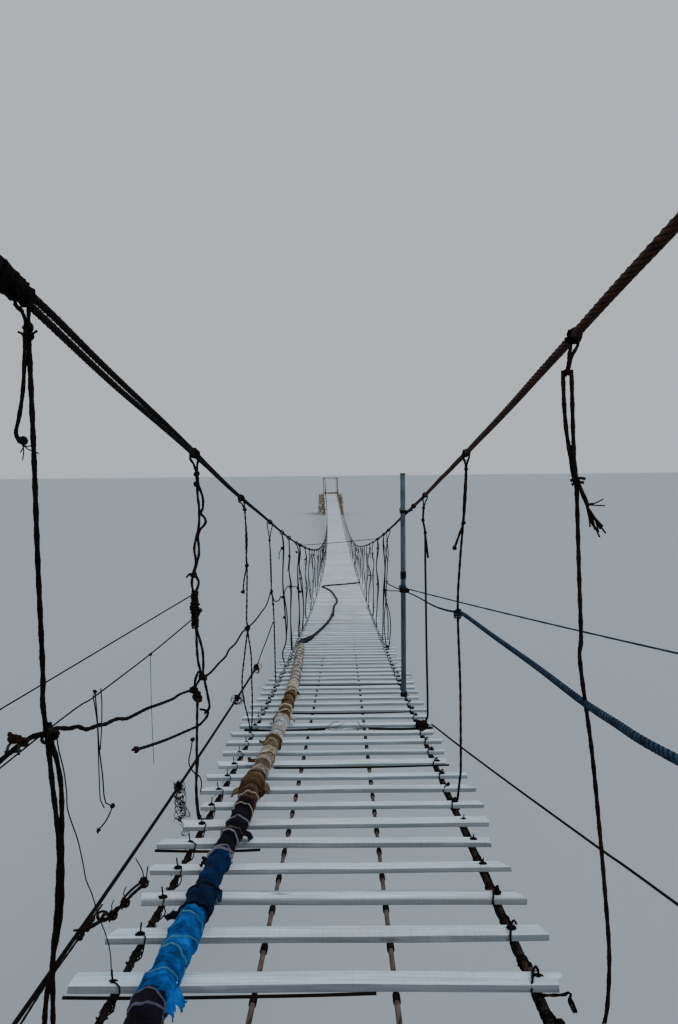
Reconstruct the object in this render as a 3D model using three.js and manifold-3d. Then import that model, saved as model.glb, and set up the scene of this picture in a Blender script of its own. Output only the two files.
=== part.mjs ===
import * as THREE from "three";
import Module from "manifold-3d";

// Rope suspension footbridge at one tenth of its real size, in millimetres.
// The bridge runs along Y from the near end to the far end, X is to the right, Z is up.

// Spacing of the two outer deck cables, which sets the width of everything.
const S = 120;
const SPAN = 75 * S;
const NEAR_DECK_Z = 398;
const FAR_DECK_Z = 237;
const DECK_SAG = 246;
const SIDE_SWAY = 40;
const STATIONS = 24;

// Planks
const PLANKS = 336;
const BAYS = 12;
const FIRST_PLANK = 0.2295 * S;
const LAST_PLANK = SPAN - 0.17 * S;
const PLANK_PITCH = (LAST_PLANK - FIRST_PLANK) / (PLANKS - 1);
const PLANK_WIDTH = 7.9;
const PLANK_THICK = 2.05;
const PLANK_OVERHANG = 0.09 * S;
const FIRST_MEASURED = 7;
const LEFT_OVERHANGS = [0.1, 0.081, 0.061, 0.083, 0.112, 0.072, 0.039, 0.076, 0.098, 0.079];
const RIGHT_OVERHANGS = [
  0.063, 0.08, 0.068, 0.068, 0.059, 0.094, 0.103, 0.095, 0.113, 0.049,
  0.073, 0.086, 0.064, 0.067, 0.076, 0.095, 0.098, 0.081,
];
const TIE_STRIP_X = 0.43 * S;

// Cables
const DECK_CABLE_X = 0.5 * S;
const INNER_CABLE_X = S / 6;
const HAND_CABLE_X = 0.53 * S;
const LEFT_DECK_R = 1.3;
const RIGHT_DECK_R = 1.5;
const INNER_R = 0.85;
const LEFT_HAND_R = 1.7;
const RIGHT_HAND_R = 1.35;
const HAND_HEIGHT_END = 1.534 * S;
const HAND_HEIGHT_MIDDLE = 0.784 * S;
const GAP = 0.3;

// Hangers
const HANGER_R = 0.5;
const SEIZING_R = 0.5;
const HANGER_STEP = 1.5 * S;
const GROUPS_PER_SIDE = 4;
const LEFT_FIRST_HANGERS = [1.43, 2.99, 4.6, 6.35, 7.48, 8.37, 9.66, 10.38];
const RIGHT_FIRST_HANGERS = [1.625, 3.2, 4.8, 8.34, 9.22, 10.83];
const LAST_HANGER = 73.7 * S;

// Ends
const MASONRY_DEPTH = 3 * S;
const BLOCK_HALF = 1.15 * S;
const WING_HALF = 2.6 * S;
const BATTER = 12;
const WING_DROP = 0.17 * S;
const POST = 13;
const POST_Y = -0.5 * S;
const BEAM = 11;
const BEAM_HALF = 0.75 * S;
const ANCHOR_BEAM_Y = -2.3 * S;
const ANCHOR_BEAM = 16;

const wasm = await Module();
wasm.setup();

const footbridge = new THREE.Group();
footbridge.name = "rope_suspension_footbridge";

const finish = (colour, roughness, metalness) => () =>
  new THREE.MeshStandardMaterial({ color: colour, roughness, metalness });
const palePlank = finish("#c9cdcb", 0.85, 0);
const darkSteel = finish("#2b2725", 0.6, 0.8);
const rustySteel = finish("#5a4538", 0.7, 0.7);
const stone = finish("#8f8778", 0.95, 0);
const timber = finish("#6e5a45", 0.85, 0);

function add(name, geometry, material) {
  const mesh = new THREE.Mesh(geometry, material());
  mesh.name = name;
  footbridge.add(mesh);
  return mesh;
}

// A repeatable number between 0 and 1 for the unevenness of hand-cut pieces.
function uneven(n) {
  const s = Math.sin(n * 12.9898 + 4.1414) * 43758.5453;
  return s - Math.floor(s);
}

// A closed surface from points and faces of three or four corners, seen anticlockwise.
function closedSurface(points, faces) {
  const index = [];
  for (const f of faces) {
    index.push(f[0], f[1], f[2]);
    if (f.length === 4) index.push(f[0], f[2], f[3]);
  }
  const geometry = new THREE.BufferGeometry();
  geometry.setAttribute("position", new THREE.Float32BufferAttribute(points.flat(), 3));
  geometry.setIndex(index);
  const flat = geometry.toNonIndexed();
  flat.computeVertexNormals();
  return flat;
}

const UP = new THREE.Vector3(0, 0, 1);
const AHEAD = new THREE.Vector3(0, 1, 0);
const RIGHT = new THREE.Vector3(1, 0, 0);

// A round bar swept along points, closed at both ends. It never runs along its upright direction.
function bar(path, radius, sides, upright = UP) {
  const points = [];
  const faces = [];
  path.forEach((p, i) => {
    const before = path[Math.max(0, i - 1)];
    const after = path[Math.min(path.length - 1, i + 1)];
    const along = after.clone().sub(before).normalize();
    const across = along.clone().cross(upright).normalize();
    const up = across.clone().cross(along);
    for (let k = 0; k < sides; k++) {
      const a = (2 * Math.PI * (k + 0.5)) / sides;
      const q = p
        .clone()
        .addScaledVector(across, radius * Math.cos(a))
        .addScaledVector(up, radius * Math.sin(a));
      points.push([q.x, q.y, q.z]);
    }
  });
  for (let i = 0; i + 1 < path.length; i++) {
    for (let k = 0; k < sides; k++) {
      const a = i * sides + k;
      const b = i * sides + ((k + 1) % sides);
      faces.push([a, b, b + sides, a + sides].reverse());
    }
  }
  const last = (path.length - 1) * sides;
  for (let k = 1; k + 1 < sides; k++) {
    faces.push([0, k, k + 1]);
    faces.push([last, last + k + 1, last + k]);
  }
  return closedSurface(points, faces);
}

// Solids for joining, read back as geometry afterwards.
function solidOf(geometry) {
  const g = geometry.index ? geometry.toNonIndexed() : geometry;
  const position = g.getAttribute("position").array;
  const found = new Map();
  const vertices = [];
  const triangles = [];
  for (let i = 0; i < position.length; i += 3) {
    const key = [position[i], position[i + 1], position[i + 2]].map((v) => v.toFixed(4)).join();
    if (!found.has(key)) {
      found.set(key, vertices.length / 3);
      vertices.push(position[i], position[i + 1], position[i + 2]);
    }
    triangles.push(found.get(key));
  }
  const mesh = new wasm.Mesh({
    numProp: 3,
    vertProperties: new Float32Array(vertices),
    triVerts: new Uint32Array(triangles),
  });
  return new wasm.Manifold(mesh);
}

function geometryOf(solid) {
  const mesh = solid.getMesh();
  const points = new Float32Array(mesh.numVert * 3);
  for (let i = 0; i < mesh.numVert; i++) {
    points.set(mesh.vertProperties.subarray(i * mesh.numProp, i * mesh.numProp + 3), i * 3);
  }
  const geometry = new THREE.BufferGeometry();
  geometry.setAttribute("position", new THREE.BufferAttribute(points, 3));
  geometry.setIndex(new THREE.BufferAttribute(mesh.triVerts, 1));
  const flat = geometry.toNonIndexed();
  flat.computeVertexNormals();
  return flat;
}

function joined(geometries) {
  return geometryOf(geometries.map(solidOf).reduce((a, b) => a.add(b)));
}

function block(width, depth, height, x, y, z) {
  return new THREE.BoxGeometry(width, depth, height).translate(x, y, z + height / 2);
}

// The run of the deck: distance y from the near end, measured in the model's own frame.
const world = (y) => y - SPAN / 2;

function smoothLine(y) {
  const t = THREE.MathUtils.clamp(y / SPAN, 0, 1);
  const z = THREE.MathUtils.lerp(NEAR_DECK_Z, FAR_DECK_Z, t) - 4 * DECK_SAG * t * (1 - t);
  return { x: 4 * SIDE_SWAY * t * (1 - t), z };
}

// Straight between the stations, so that planks and cables stay clear of each other.
function deckLine(y) {
  const step = SPAN / STATIONS;
  const i = THREE.MathUtils.clamp(Math.floor(y / step), 0, STATIONS - 1);
  const f = THREE.MathUtils.clamp(y / step - i, 0, 1);
  const a = smoothLine(i * step);
  const b = smoothLine((i + 1) * step);
  return {
    x: a.x + (b.x - a.x) * f,
    z: a.z + (b.z - a.z) * f,
    slope: (b.z - a.z) / step,
    turn: (b.x - a.x) / step,
  };
}

// Height of a hand cable over its deck cable, and how far it stands from the middle.
// Past the first hangers both spread and rise a little. The left one first draws in, the right one hangs higher.
function smoothHand(side, y) {
  const u = 1 - 2 * THREE.MathUtils.clamp(y / SPAN, 0, 1);
  const even = HAND_HEIGHT_MIDDLE + (HAND_HEIGHT_END - HAND_HEIGHT_MIDDLE) * u * u;
  const d = y / S;
  const rightLift = d < 25 ? 0.09 * Math.sin((Math.PI * d) / 25) : 0;
  const leftLift = 0.03 * Math.exp(-((d / 9) ** 2)) + 0.034 * Math.exp(-(((d - 5.5) / 2) ** 2));
  const lift = side < 0 ? leftLift : rightLift + 0.031 * Math.exp(-(((d - 5.4) / 2.7) ** 2));
  const inward = side < 0 ? 0.03 * Math.exp(-(((d - 2.7) / 1.4) ** 2)) : 0;
  const spread = 0.025 * Math.exp(-(((d - 5) / 2.5) ** 2)) - inward;
  return { height: even + lift * S, x: side * (HAND_CABLE_X + spread * S) };
}

function handLine(side, y) {
  const step = SPAN / STATIONS;
  const i = THREE.MathUtils.clamp(Math.floor(y / step), 0, STATIONS - 1);
  const f = THREE.MathUtils.clamp(y / step - i, 0, 1);
  const a = smoothHand(side, i * step);
  const b = smoothHand(side, (i + 1) * step);
  const at = deckLine(y);
  const height = a.height + (b.height - a.height) * f;
  return { height, z: at.z + height, x: at.x + a.x + (b.x - a.x) * f };
}

const stations = [...Array(STATIONS + 1).keys()].map((i) => (i * SPAN) / STATIONS);
const V = (x, y, z) => new THREE.Vector3(x, y, z);
const CABLE_BED = RIGHT_DECK_R + GAP;

// Deck cables, from one anchor beam to the other.
function deckCable(name, x, radius, sides, material) {
  const lift = RIGHT_DECK_R - radius;
  const reach = -ANCHOR_BEAM_Y - ANCHOR_BEAM / 2 - GAP;
  const path = [V(x, world(-reach), NEAR_DECK_Z + lift)];
  for (const y of stations) path.push(V(x + deckLine(y).x, world(y), deckLine(y).z + lift));
  path.push(V(x, world(SPAN + reach), FAR_DECK_Z + lift));
  add(name, bar(path, radius, sides), material);
}

deckCable("left_deck_cable", -DECK_CABLE_X, LEFT_DECK_R, 6, darkSteel);
deckCable("right_deck_cable", DECK_CABLE_X, RIGHT_DECK_R, 6, rustySteel);
deckCable("left_inner_cable", -INNER_CABLE_X, INNER_R, 5, rustySteel);
deckCable("right_inner_cable", INNER_CABLE_X, INNER_R, 5, rustySteel);

// How far the ends of plank n stand past the outer cables.
function overhang(n, measured, seed) {
  const known = measured[n - FIRST_MEASURED];
  return known ? known * S : PLANK_OVERHANG * (0.65 + 0.7 * uneven(n + seed));
}

// Planks of one bay, held together by the tie strip that runs from plank to plank.
function deckBay(first, count) {
  const points = [];
  const faces = [];
  for (let j = 0; j < count; j++) {
    const n = first + j;
    const y = FIRST_PLANK + n * PLANK_PITCH;
    const at = deckLine(y);
    const skew = (uneven(n) - 0.5) * 0.022 - at.turn;
    const left = -DECK_CABLE_X - overhang(n, LEFT_OVERHANGS, 500);
    const right = DECK_CABLE_X + overhang(n, RIGHT_OVERHANGS, 900);
    const put = (x, b, up) => {
      const w = (b * PLANK_WIDTH) / 2;
      points.push([
        at.x + x,
        world(y) + x * skew + w - up * at.slope,
        at.z + CABLE_BED + up + w * at.slope,
      ]);
    };
    const t = PLANK_THICK;
    put(left, -1, t);
    put(TIE_STRIP_X - 0.7, -1, t);
    put(TIE_STRIP_X + 0.7, -1, t);
    put(right, -1, t);
    put(right, 1, t);
    put(TIE_STRIP_X + 0.7, 1, t);
    put(TIE_STRIP_X - 0.7, 1, t);
    put(left, 1, t);
    put(left, -1, 0);
    put(TIE_STRIP_X, -1, 0);
    put(right, -1, 0);
    put(right, 1, 0);
    put(TIE_STRIP_X, 1, 0);
    put(left, 1, 0);
    const face = (...corners) => faces.push(corners.map((c) => c + j * 14));
    face(0, 1, 6, 7);
    face(1, 2, 5, 6);
    face(2, 3, 4, 5);
    face(8, 13, 12, 9);
    face(9, 12, 11, 10);
    face(8, 9, 1, 0);
    face(9, 10, 3, 2);
    face(7, 6, 12, 13);
    face(5, 4, 11, 12);
    face(8, 0, 7, 13);
    face(10, 11, 4, 3);
    if (j === 0) face(9, 2, 1);
    if (j === count - 1) face(6, 5, 12);
    if (j + 1 < count) {
      face(6, 5, 2 + 14, 1 + 14);
      face(12, 6, 1 + 14, 9 + 14);
      face(5, 12, 9 + 14, 2 + 14);
    }
  }
  return closedSurface(points, faces);
}

for (let bay = 0; bay < BAYS; bay++) {
  const count = PLANKS / BAYS;
  const name = "deck_planks_" + String(bay + 1).padStart(2, "0");
  add(name, deckBay(bay * count, count), palePlank);
}

// Hand cables: over the cross beams and down to the anchor beams.
function handCable(name, side, radius, material) {
  const x = side * HAND_CABLE_X;
  const reach = -ANCHOR_BEAM_Y - ANCHOR_BEAM / 2 - GAP;
  const saddle = BEAM / 2 + 2;
  const rest = HAND_HEIGHT_END + radius - LEFT_HAND_R + 0.06 * S;
  const path = [];
  for (const s of [0, 6]) path.push(V(x, world(s - reach), NEAR_DECK_Z + radius + 2));
  for (const s of [-saddle, saddle]) path.push(V(x, world(POST_Y + s), NEAR_DECK_Z + rest));
  for (const y of stations) path.push(V(handLine(side, y).x, world(y), handLine(side, y).z));
  for (const s of [-saddle, saddle]) path.push(V(x, world(SPAN - POST_Y + s), FAR_DECK_Z + rest));
  for (const s of [-6, 0]) path.push(V(x, world(SPAN + reach + s), FAR_DECK_Z + radius + 2));
  add(name, bar(path, radius, 6), material);
}

handCable("left_hand_cable", -1, LEFT_HAND_R, darkSteel);
handCable("right_hand_cable", 1, RIGHT_HAND_R, rustySteel);

// Hangers stand in the gaps between planks.
function inGap(y) {
  const n = Math.round((y - FIRST_PLANK) / PLANK_PITCH - 0.5);
  return FIRST_PLANK + (n + 0.5) * PLANK_PITCH;
}

function hangerPlaces(firstOnes) {
  const places = firstOnes.map((d) => d * S);
  let y = places[places.length - 1] + HANGER_STEP;
  while (y < LAST_HANGER) {
    places.push(inGap(y));
    y += HANGER_STEP;
  }
  return places;
}

function hangerFoot(side) {
  return side * (DECK_CABLE_X + RIGHT_DECK_R + GAP + SEIZING_R);
}

// A point just outside the line of a hanger, h spacings over the deck cable.
function besideHanger(d, h, side, extra) {
  const y = d * S;
  const at = deckLine(y);
  const hand = handLine(side, y);
  const foot = at.x + hangerFoot(side);
  const x = foot + ((hand.x - foot) * (h * S)) / hand.height;
  return V(x + side * (HANGER_R + GAP + extra), world(y), at.z + h * S);
}

// One run of hangers with the seizing wire that carries their feet along the deck cable.
function hangerGroup(places, side) {
  const foot = hangerFoot(side);
  const handR = side < 0 ? LEFT_HAND_R : RIGHT_HAND_R;
  const start = places[0] - 3;
  const end = places[places.length - 1] + 3;
  const marks = [start, ...stations.filter((y) => y > start + 1 && y < end - 1), end];
  const wire = marks.map((y) => V(foot + deckLine(y).x, world(y), deckLine(y).z));
  const pieces = [bar(wire, SEIZING_R, 4)];
  for (const y of places) {
    const at = deckLine(y);
    const hand = handLine(side, y);
    const top = V(hand.x, world(y), hand.z - handR - GAP);
    pieces.push(bar([V(foot + at.x, world(y), at.z - 0.25), top], HANGER_R, 4, AHEAD));
  }
  return joined(pieces);
}

const sides = [
  ["left", -1, LEFT_FIRST_HANGERS, darkSteel],
  ["right", 1, RIGHT_FIRST_HANGERS, rustySteel],
];
for (const [word, side, firstOnes, material] of sides) {
  const places = hangerPlaces(firstOnes);
  const share = Math.ceil(places.length / GROUPS_PER_SIDE);
  for (let g = 0; g < GROUPS_PER_SIDE; g++) {
    const group = places.slice(g * share, (g + 1) * share);
    add(word + "_hangers_" + (g + 1), hangerGroup(group, side), material);
  }
}

// Masonry ends with a flat top for the anchor beams and cables.
function profileWall(outline, depth, y) {
  const shape = new THREE.Shape(outline.map(([x, z]) => new THREE.Vector2(x, z)));
  const wall = new THREE.ExtrudeGeometry(shape, { depth, bevelEnabled: false });
  return wall.rotateX(Math.PI / 2).translate(0, y + depth, 0);
}

const nearTop = NEAR_DECK_Z - CABLE_BED;
const farTop = FAR_DECK_Z - CABLE_BED;
const wingTop = nearTop - WING_DROP;
const nearOutline = [
  [-WING_HALF - BATTER, 0],
  [WING_HALF + BATTER, 0],
  [WING_HALF, wingTop],
  [BLOCK_HALF, wingTop],
  [BLOCK_HALF, nearTop],
  [-BLOCK_HALF, nearTop],
  [-BLOCK_HALF, wingTop],
  [-WING_HALF, wingTop],
];
const farOutline = [
  [-BLOCK_HALF - BATTER, 0],
  [BLOCK_HALF + BATTER, 0],
  [BLOCK_HALF, farTop],
  [-BLOCK_HALF, farTop],
];
add("near_abutment", profileWall(nearOutline, MASONRY_DEPTH, world(-MASONRY_DEPTH)), stone);
add("far_abutment", profileWall(farOutline, MASONRY_DEPTH, world(SPAN)), stone);

// Posts, cross beams and anchor beams at both ends.
for (const [word, y, top, deckZ] of [
  ["near", POST_Y, nearTop, NEAR_DECK_Z],
  ["far", SPAN - POST_Y, farTop, FAR_DECK_Z],
]) {
  const beamTop = deckZ + HAND_HEIGHT_END + 0.06 * S - LEFT_HAND_R - GAP;
  const postHeight = beamTop - BEAM - GAP - top - GAP;
  for (const [hand, side] of [["left", -1], ["right", 1]]) {
    const x = side * (HAND_CABLE_X + 0.14 * S);
    add(word + "_" + hand + "_post", block(POST, POST, postHeight, x, world(y), top + GAP), timber);
  }
  add(word + "_cross_beam", block(2 * BEAM_HALF, BEAM, BEAM, 0, world(y), beamTop - BEAM), timber);
  const anchorY = word === "near" ? ANCHOR_BEAM_Y : SPAN - ANCHOR_BEAM_Y;
  const anchor = block(2 * BEAM_HALF, ANCHOR_BEAM, ANCHOR_BEAM, 0, world(anchorY), top + GAP);
  add(word + "_anchor_beam", anchor, timber);
}

// Black hand rope along the left side, from the near post past the first hangers.
const MID_ROPE = [
  [1.43, 0.714],
  [2.3, 0.594],
  [2.99, 0.554],
  [3.7, 0.589],
  [4.6, 0.639],
  [5.6, 0.679],
  [6.35, 0.774],
  [7.48, 0.666],
  [8, 0.76],
  [9.2, 0.68],
  [9.66, 0.597],
];
const midRopePath = [V(-HAND_CABLE_X - 0.06 * S, world(POST_Y + POST), NEAR_DECK_Z + 0.81 * S)];
for (const [d, h] of MID_ROPE) midRopePath.push(besideHanger(d, h, -1, 0.6));
add("left_mid_rope", bar(midRopePath, 0.6, 5), darkSteel);

// Cloth-wrapped cable lying on the planks along the left side, then bare rope.
const WRAP_R = 4.6;
const ROPE_R = 2.2;
const plankTop = CABLE_BED + PLANK_THICK;
const WRAP_LINE = [
  [0.3, -0.385],
  [0.9, -0.38],
  [1.51, -0.375],
  [1.88, -0.367],
  [2.5, -0.355],
  [2.8, -0.344],
  [3.26, -0.347],
  [3.78, -0.335],
  [4.3, -0.331],
  [4.8, -0.33],
  [5.73, -0.343],
  [6.21, -0.35],
  [6.65, -0.363],
  [7.1, -0.378],
  [8.42, -0.421],
];
const ROPE_LINE = [
  [8.426, -0.421],
  [8.914, -0.447],
  [9.31, -0.36],
  [10.22, -0.265],
  [10.75, -0.219],
  [11.29, -0.178],
  [12.57, -0.119],
  [13.9, -0.114],
  [14.98, -0.064],
  [16.2, -0.11],
  [17.58, -0.208],
  [18.35, -0.31],
  [19.13, -0.421],
  [19.7, 0.127],
  [20.156, 0.505],
];

function onPlanks(line, radius) {
  return line.map(([d, x]) => {
    const at = deckLine(d * S);
    return V(at.x + x * S, world(d * S), at.z + plankTop + radius + GAP + 0.25);
  });
}

// A soft rope: points at even steps on a smooth curve through the given line, kept off the planks.
function laidRope(line, radius, steps, roundness) {
  const curve = new THREE.CatmullRomCurve3(onPlanks(line, radius), false, "centripetal");
  const points = curve.getSpacedPoints(steps);
  for (const p of points) {
    p.z = deckLine(p.y + SPAN / 2).z + plankTop + radius + GAP + 0.25;
  }
  return bar(points, radius, roundness);
}

add("cloth_wrapped_cable", laidRope(WRAP_LINE, WRAP_R, 48, 8), finish("#5c6c8c", 0.9, 0));
add("black_deck_rope", laidRope(ROPE_LINE, ROPE_R, 80, 6), finish("#17181a", 0.8, 0));

// Blue pole that stands on a plank at the right edge.
const POLE_PLANK = 24;
const poleY = FIRST_PLANK + POLE_PLANK * PLANK_PITCH;
const poleX = deckLine(poleY).x + 0.4765 * S;
const poleFoot = deckLine(poleY).z + plankTop + GAP + 0.3;
const POLE_R = 2.2;
const POLE_LENGTH = 1.61 * S;
add(
  "blue_pole",
  bar([V(poleX, world(poleY), poleFoot), V(poleX, world(poleY), poleFoot + POLE_LENGTH)], POLE_R, 8, AHEAD),
  finish("#2d4a66", 0.5, 0.3),
);

// Stays from the structure to the near masonry and its stake.
function stay(name, points, radius, material) {
  add(name, bar(points, radius, 5, RIGHT), material);
}

const wallFace = world(0) + GAP;
const anchorAt = (x, drop) => V(x * S, wallFace, NEAR_DECK_Z - drop * S);
stay(
  "left_lower_stay",
  [besideHanger(6.35, 0.525, -1, 0.8), V(-0.69 * S, world(6.5 * S), deckLine(6.5 * S).z + 0.131 * S),
    anchorAt(-1.215, 0.773)],
  0.75,
  darkSteel,
);
stay("left_upper_guy", [besideHanger(2.99, 0.914, -1, 0.4), anchorAt(-2.5, 0.466)], 0.4, darkSteel);
stay("left_lower_guy", [besideHanger(2.99, 0.834, -1, 0.4), anchorAt(-1.7, 0.386)], 0.4, darkSteel);
stay("right_lower_stay", [besideHanger(4.8, -0.015, 1, 0.9), anchorAt(1.8, 0.316)], 0.6, darkSteel);

const blue = finish("#2f5d86", 0.7, 0);
const poleSide = poleX + POLE_R + GAP;
const blueEnd = deckLine(poleY).z + 0.798 * S;

// Blue hand rope along the right side, from the near post past the first hangers to the pole.
const BLUE_R = 1;
const BLUE_ROPE = [
  [0.5, 0.754],
  [1.15, 0.734],
  [1.625, 0.731],
  [2.3, 0.769],
  [3.2, 0.819],
  [4, 0.784],
  [4.8, 0.761],
  [5.35, 0.776],
];
const blueRopePath = [V(HAND_CABLE_X + 0.06 * S, world(POST_Y + POST), NEAR_DECK_Z + 0.8 * S)];
for (const [d, h] of BLUE_ROPE) blueRopePath.push(besideHanger(d, h, 1, BLUE_R));
blueRopePath.push(V(poleSide + BLUE_R, world(poleY), blueEnd));
add("right_mid_rope", bar(blueRopePath, BLUE_R, 5), blue);

const stakeX = 2.45 * S;
const stakeY = world(-0.3 * S);
const STAKE_R = 4;
const STAKE_HEIGHT = 0.8 * S;
const STAKE_TIE_HEIGHT = 85;
const stakeAt = (up) => V(stakeX, stakeY, wingTop + up);
add("anchor_stake", bar([stakeAt(GAP), stakeAt(STAKE_HEIGHT)], STAKE_R, 6, AHEAD), rustySteel);
stay(
  "blue_guy_line",
  [
    V(poleSide + 0.6, world(poleY), blueEnd + 3),
    V(stakeX, stakeY + STAKE_R + GAP + 0.6, wingTop + STAKE_TIE_HEIGHT),
  ],
  0.55,
  blue,
);

// Thin tie between the two hand cables.
const TIE_Y = 10.6 * S;
const tieEnd = (side, radius) => {
  const hand = handLine(side, TIE_Y);
  return V(hand.x + side * 1.6, world(TIE_Y), hand.z + radius + GAP + 0.6);
};
add("hand_cable_tie", bar([tieEnd(-1, LEFT_HAND_R), tieEnd(1, RIGHT_HAND_R)], 0.5, 5), darkSteel);

export default footbridge;
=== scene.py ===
import math
import bpy
import numpy as np
from mathutils import Matrix, Vector


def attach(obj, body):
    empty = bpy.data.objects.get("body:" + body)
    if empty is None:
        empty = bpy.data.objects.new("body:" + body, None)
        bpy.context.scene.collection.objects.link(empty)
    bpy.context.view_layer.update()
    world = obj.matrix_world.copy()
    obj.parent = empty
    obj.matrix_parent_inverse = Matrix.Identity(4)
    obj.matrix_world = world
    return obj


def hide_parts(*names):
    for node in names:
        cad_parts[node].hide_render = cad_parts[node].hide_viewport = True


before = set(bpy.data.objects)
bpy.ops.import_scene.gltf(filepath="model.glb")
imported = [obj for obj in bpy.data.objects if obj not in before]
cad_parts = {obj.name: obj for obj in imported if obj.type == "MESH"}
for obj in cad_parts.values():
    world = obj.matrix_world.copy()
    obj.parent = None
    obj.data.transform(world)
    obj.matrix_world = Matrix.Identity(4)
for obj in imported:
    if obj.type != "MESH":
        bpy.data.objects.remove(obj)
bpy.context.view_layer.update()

# Lengths are in spacings of the outer deck cables, as in the part's source, unless a text says
# metres. x is from the middle of the deck, y from the near end, h from the deck cables' centres.
S = 0.12
SPAN = 75
NEAR_Z = 0.398 / S
FAR_Z = 0.237 / S
SAG = 0.246 / S
SWAY = 0.04 / S
PLANKS = 336
BAYS = 12
FIRST_PLANK = 0.2295
LAST_PLANK = SPAN - 0.17
PITCH = (LAST_PLANK - FIRST_PLANK) / (PLANKS - 1)
PLANK_HALF = 0.033
BED = 0.015
THICK = 0.0171
TOP = BED + THICK
HAND_X = 0.53
# The photo was measured from the planks' tops, so what hangs over the deck is raised by this.
RAISE = 0.032
# Planks that lie a little further along than even spacing puts them
MOVED_BOARDS = {8: 0.02, 9: 0.025, 10: 0.03, 11: 0.03, 12: 0.015, 13: 0.015, 14: 0.01}


def deck(y):
    t = np.clip(np.asarray(y, float) / SPAN, 0, 1)
    return 4 * SWAY * t * (1 - t), NEAR_Z + (FAR_Z - NEAR_Z) * t - 4 * SAG * t * (1 - t)


def place(points):
    """Points (x, y, h) in metres of the shared frame."""
    p = np.asarray(points, float).reshape(-1, 3)
    x, z = deck(p[:, 1])
    return np.column_stack((x + p[:, 0], p[:, 1] - SPAN / 2, z + p[:, 2])) * S


def hump(y, centre, width):
    """A smooth hump of height one."""
    return np.exp(-(((y - centre) / width) ** 2))


def hand(side, y):
    """Offset and height of a hand cable."""
    u = 1 - 2 * np.clip(y / SPAN, 0, 1)
    if side < 0:
        lift = 0.03 * hump(y, 0, 9) + 0.034 * hump(y, 5.5, 2) + 0.013 * hump(y, 1.45, 0.35)
        inward = 0.03 * hump(y, 2.7, 1.4)
    else:
        lift = 0.09 * np.sin(np.pi * np.clip(y / 25, 0, 1)) + 0.031 * hump(y, 5.4, 2.7)
        inward = 0
    return side * (HAND_X + 0.025 * hump(y, 5, 2.5) - inward), 0.75 + 0.75 * u * u + lift


def uneven(n):
    s = math.sin(n * 12.9898 + 4.1414) * 43758.5453
    return s - math.floor(s)


def plank_y(k):
    return FIRST_PLANK + k * PITCH + MOVED_BOARDS.get(k, 0)


# Camera
right = Vector((0.99989937, -0.01031269, -0.00974143))
upward = Vector((0.010288, 0.05434543, 0.99846919))
ahead = Vector((0.0097675, 0.99846894, -0.05444606))
EYE_X = 0.057
EYE_H = 1.0177
FOCAL_PIXELS = 781
PICTURE_HEIGHT = 1024
camera = bpy.data.objects.new("camera", bpy.data.cameras.new("camera"))
bpy.context.scene.collection.objects.link(camera)
bpy.context.scene.camera = camera
eye = Vector(place([(EYE_X, 0, EYE_H)])[0])
camera.matrix_world = Matrix.Translation(eye) @ Matrix((right, upward, -ahead)).transposed().to_4x4()
camera.data.sensor_width = 36
camera.data.lens = FOCAL_PIXELS / PICTURE_HEIGHT * camera.data.sensor_width
camera.data.clip_start = 0.01
camera.data.clip_end = 300


# Materials
class Paint:
    """A procedural material: its node helpers return output sockets."""

    def __init__(self, name, roughness=0.8, metallic=0.0, shine=0.5):
        self.material = bpy.data.materials.new(name)
        self.material.use_nodes = True
        self.tree = self.material.node_tree
        self.shader = self.tree.nodes["Principled BSDF"]
        for key, value in (("Roughness", roughness), ("Metallic", metallic), ("Specular IOR Level", shine)):
            self.put(self.shader, key, value)

    def put(self, node, key, value):
        """Links a socket to an input, or gives the input a number or a colour."""
        if isinstance(value, bpy.types.NodeSocket):
            self.tree.links.new(value, node.inputs[key])
        else:
            node.inputs[key].default_value = value

    def node(self, kind, inputs=None, output=0, **settings):
        n = self.tree.nodes.new("ShaderNode" + kind)
        for key, value in settings.items():
            setattr(n, key, value)
        for key, value in (inputs or {}).items():
            self.put(n, key, value)
        return n.outputs[output]

    def math(self, operation, a, b=0.0):
        return self.node("Math", {0: a, 1: b}, operation=operation)

    def times(self, a, b):
        return self.math("MULTIPLY", a, b)

    def noise(self, vector, scale, detail=4.0, rough=0.55):
        return self.node("TexNoise", {"Vector": vector, "Scale": scale, "Detail": detail, "Roughness": rough})

    def stretched(self, vector, scale):
        return self.node("Mapping", {"Vector": vector, "Scale": scale})

    def streaks(self, along, across, detail, rough):
        """Noise with its own scales along and across the UV."""
        return self.noise(self.stretched(self.uv, (along, across, 1)), 1.0, detail, rough)

    def steps(self, value, low, high):
        return self.node("MapRange", {"Value": value, "From Min": low, "From Max": high})

    def blend(self, factor, a, b, mode="MIX"):
        n = self.tree.nodes.new("ShaderNodeMix")
        n.data_type = "RGBA"
        n.blend_type = mode
        for key, value in ((0, factor), (6, a), (7, b)):
            self.put(n, key, (*value, 1) if isinstance(value, tuple) else value)
        return n.outputs[2]

    def wash(self, base, value, low, high, strength, colour):
        """A colour laid over the base where the value goes from low to high."""
        return self.blend(self.times(self.steps(value, low, high), strength), base, colour)

    def tinted(self, base):
        """The shader's colour: the base times the tint of each point."""
        self.put(self.shader, "Base Color", self.blend(1.0, base, self.tint, "MULTIPLY"))

    def bump(self, height, metres, strength=1.0):
        n = self.node("Bump", {"Height": height, "Distance": metres, "Strength": strength})
        self.put(self.shader, "Normal", n)

    @property
    def uv(self):
        return self.node("TexCoord", output=2)

    @property
    def place(self):
        return self.node("TexCoord", output=3)

    @property
    def tint(self):
        return self.node("Attribute", attribute_name="tint")


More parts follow.
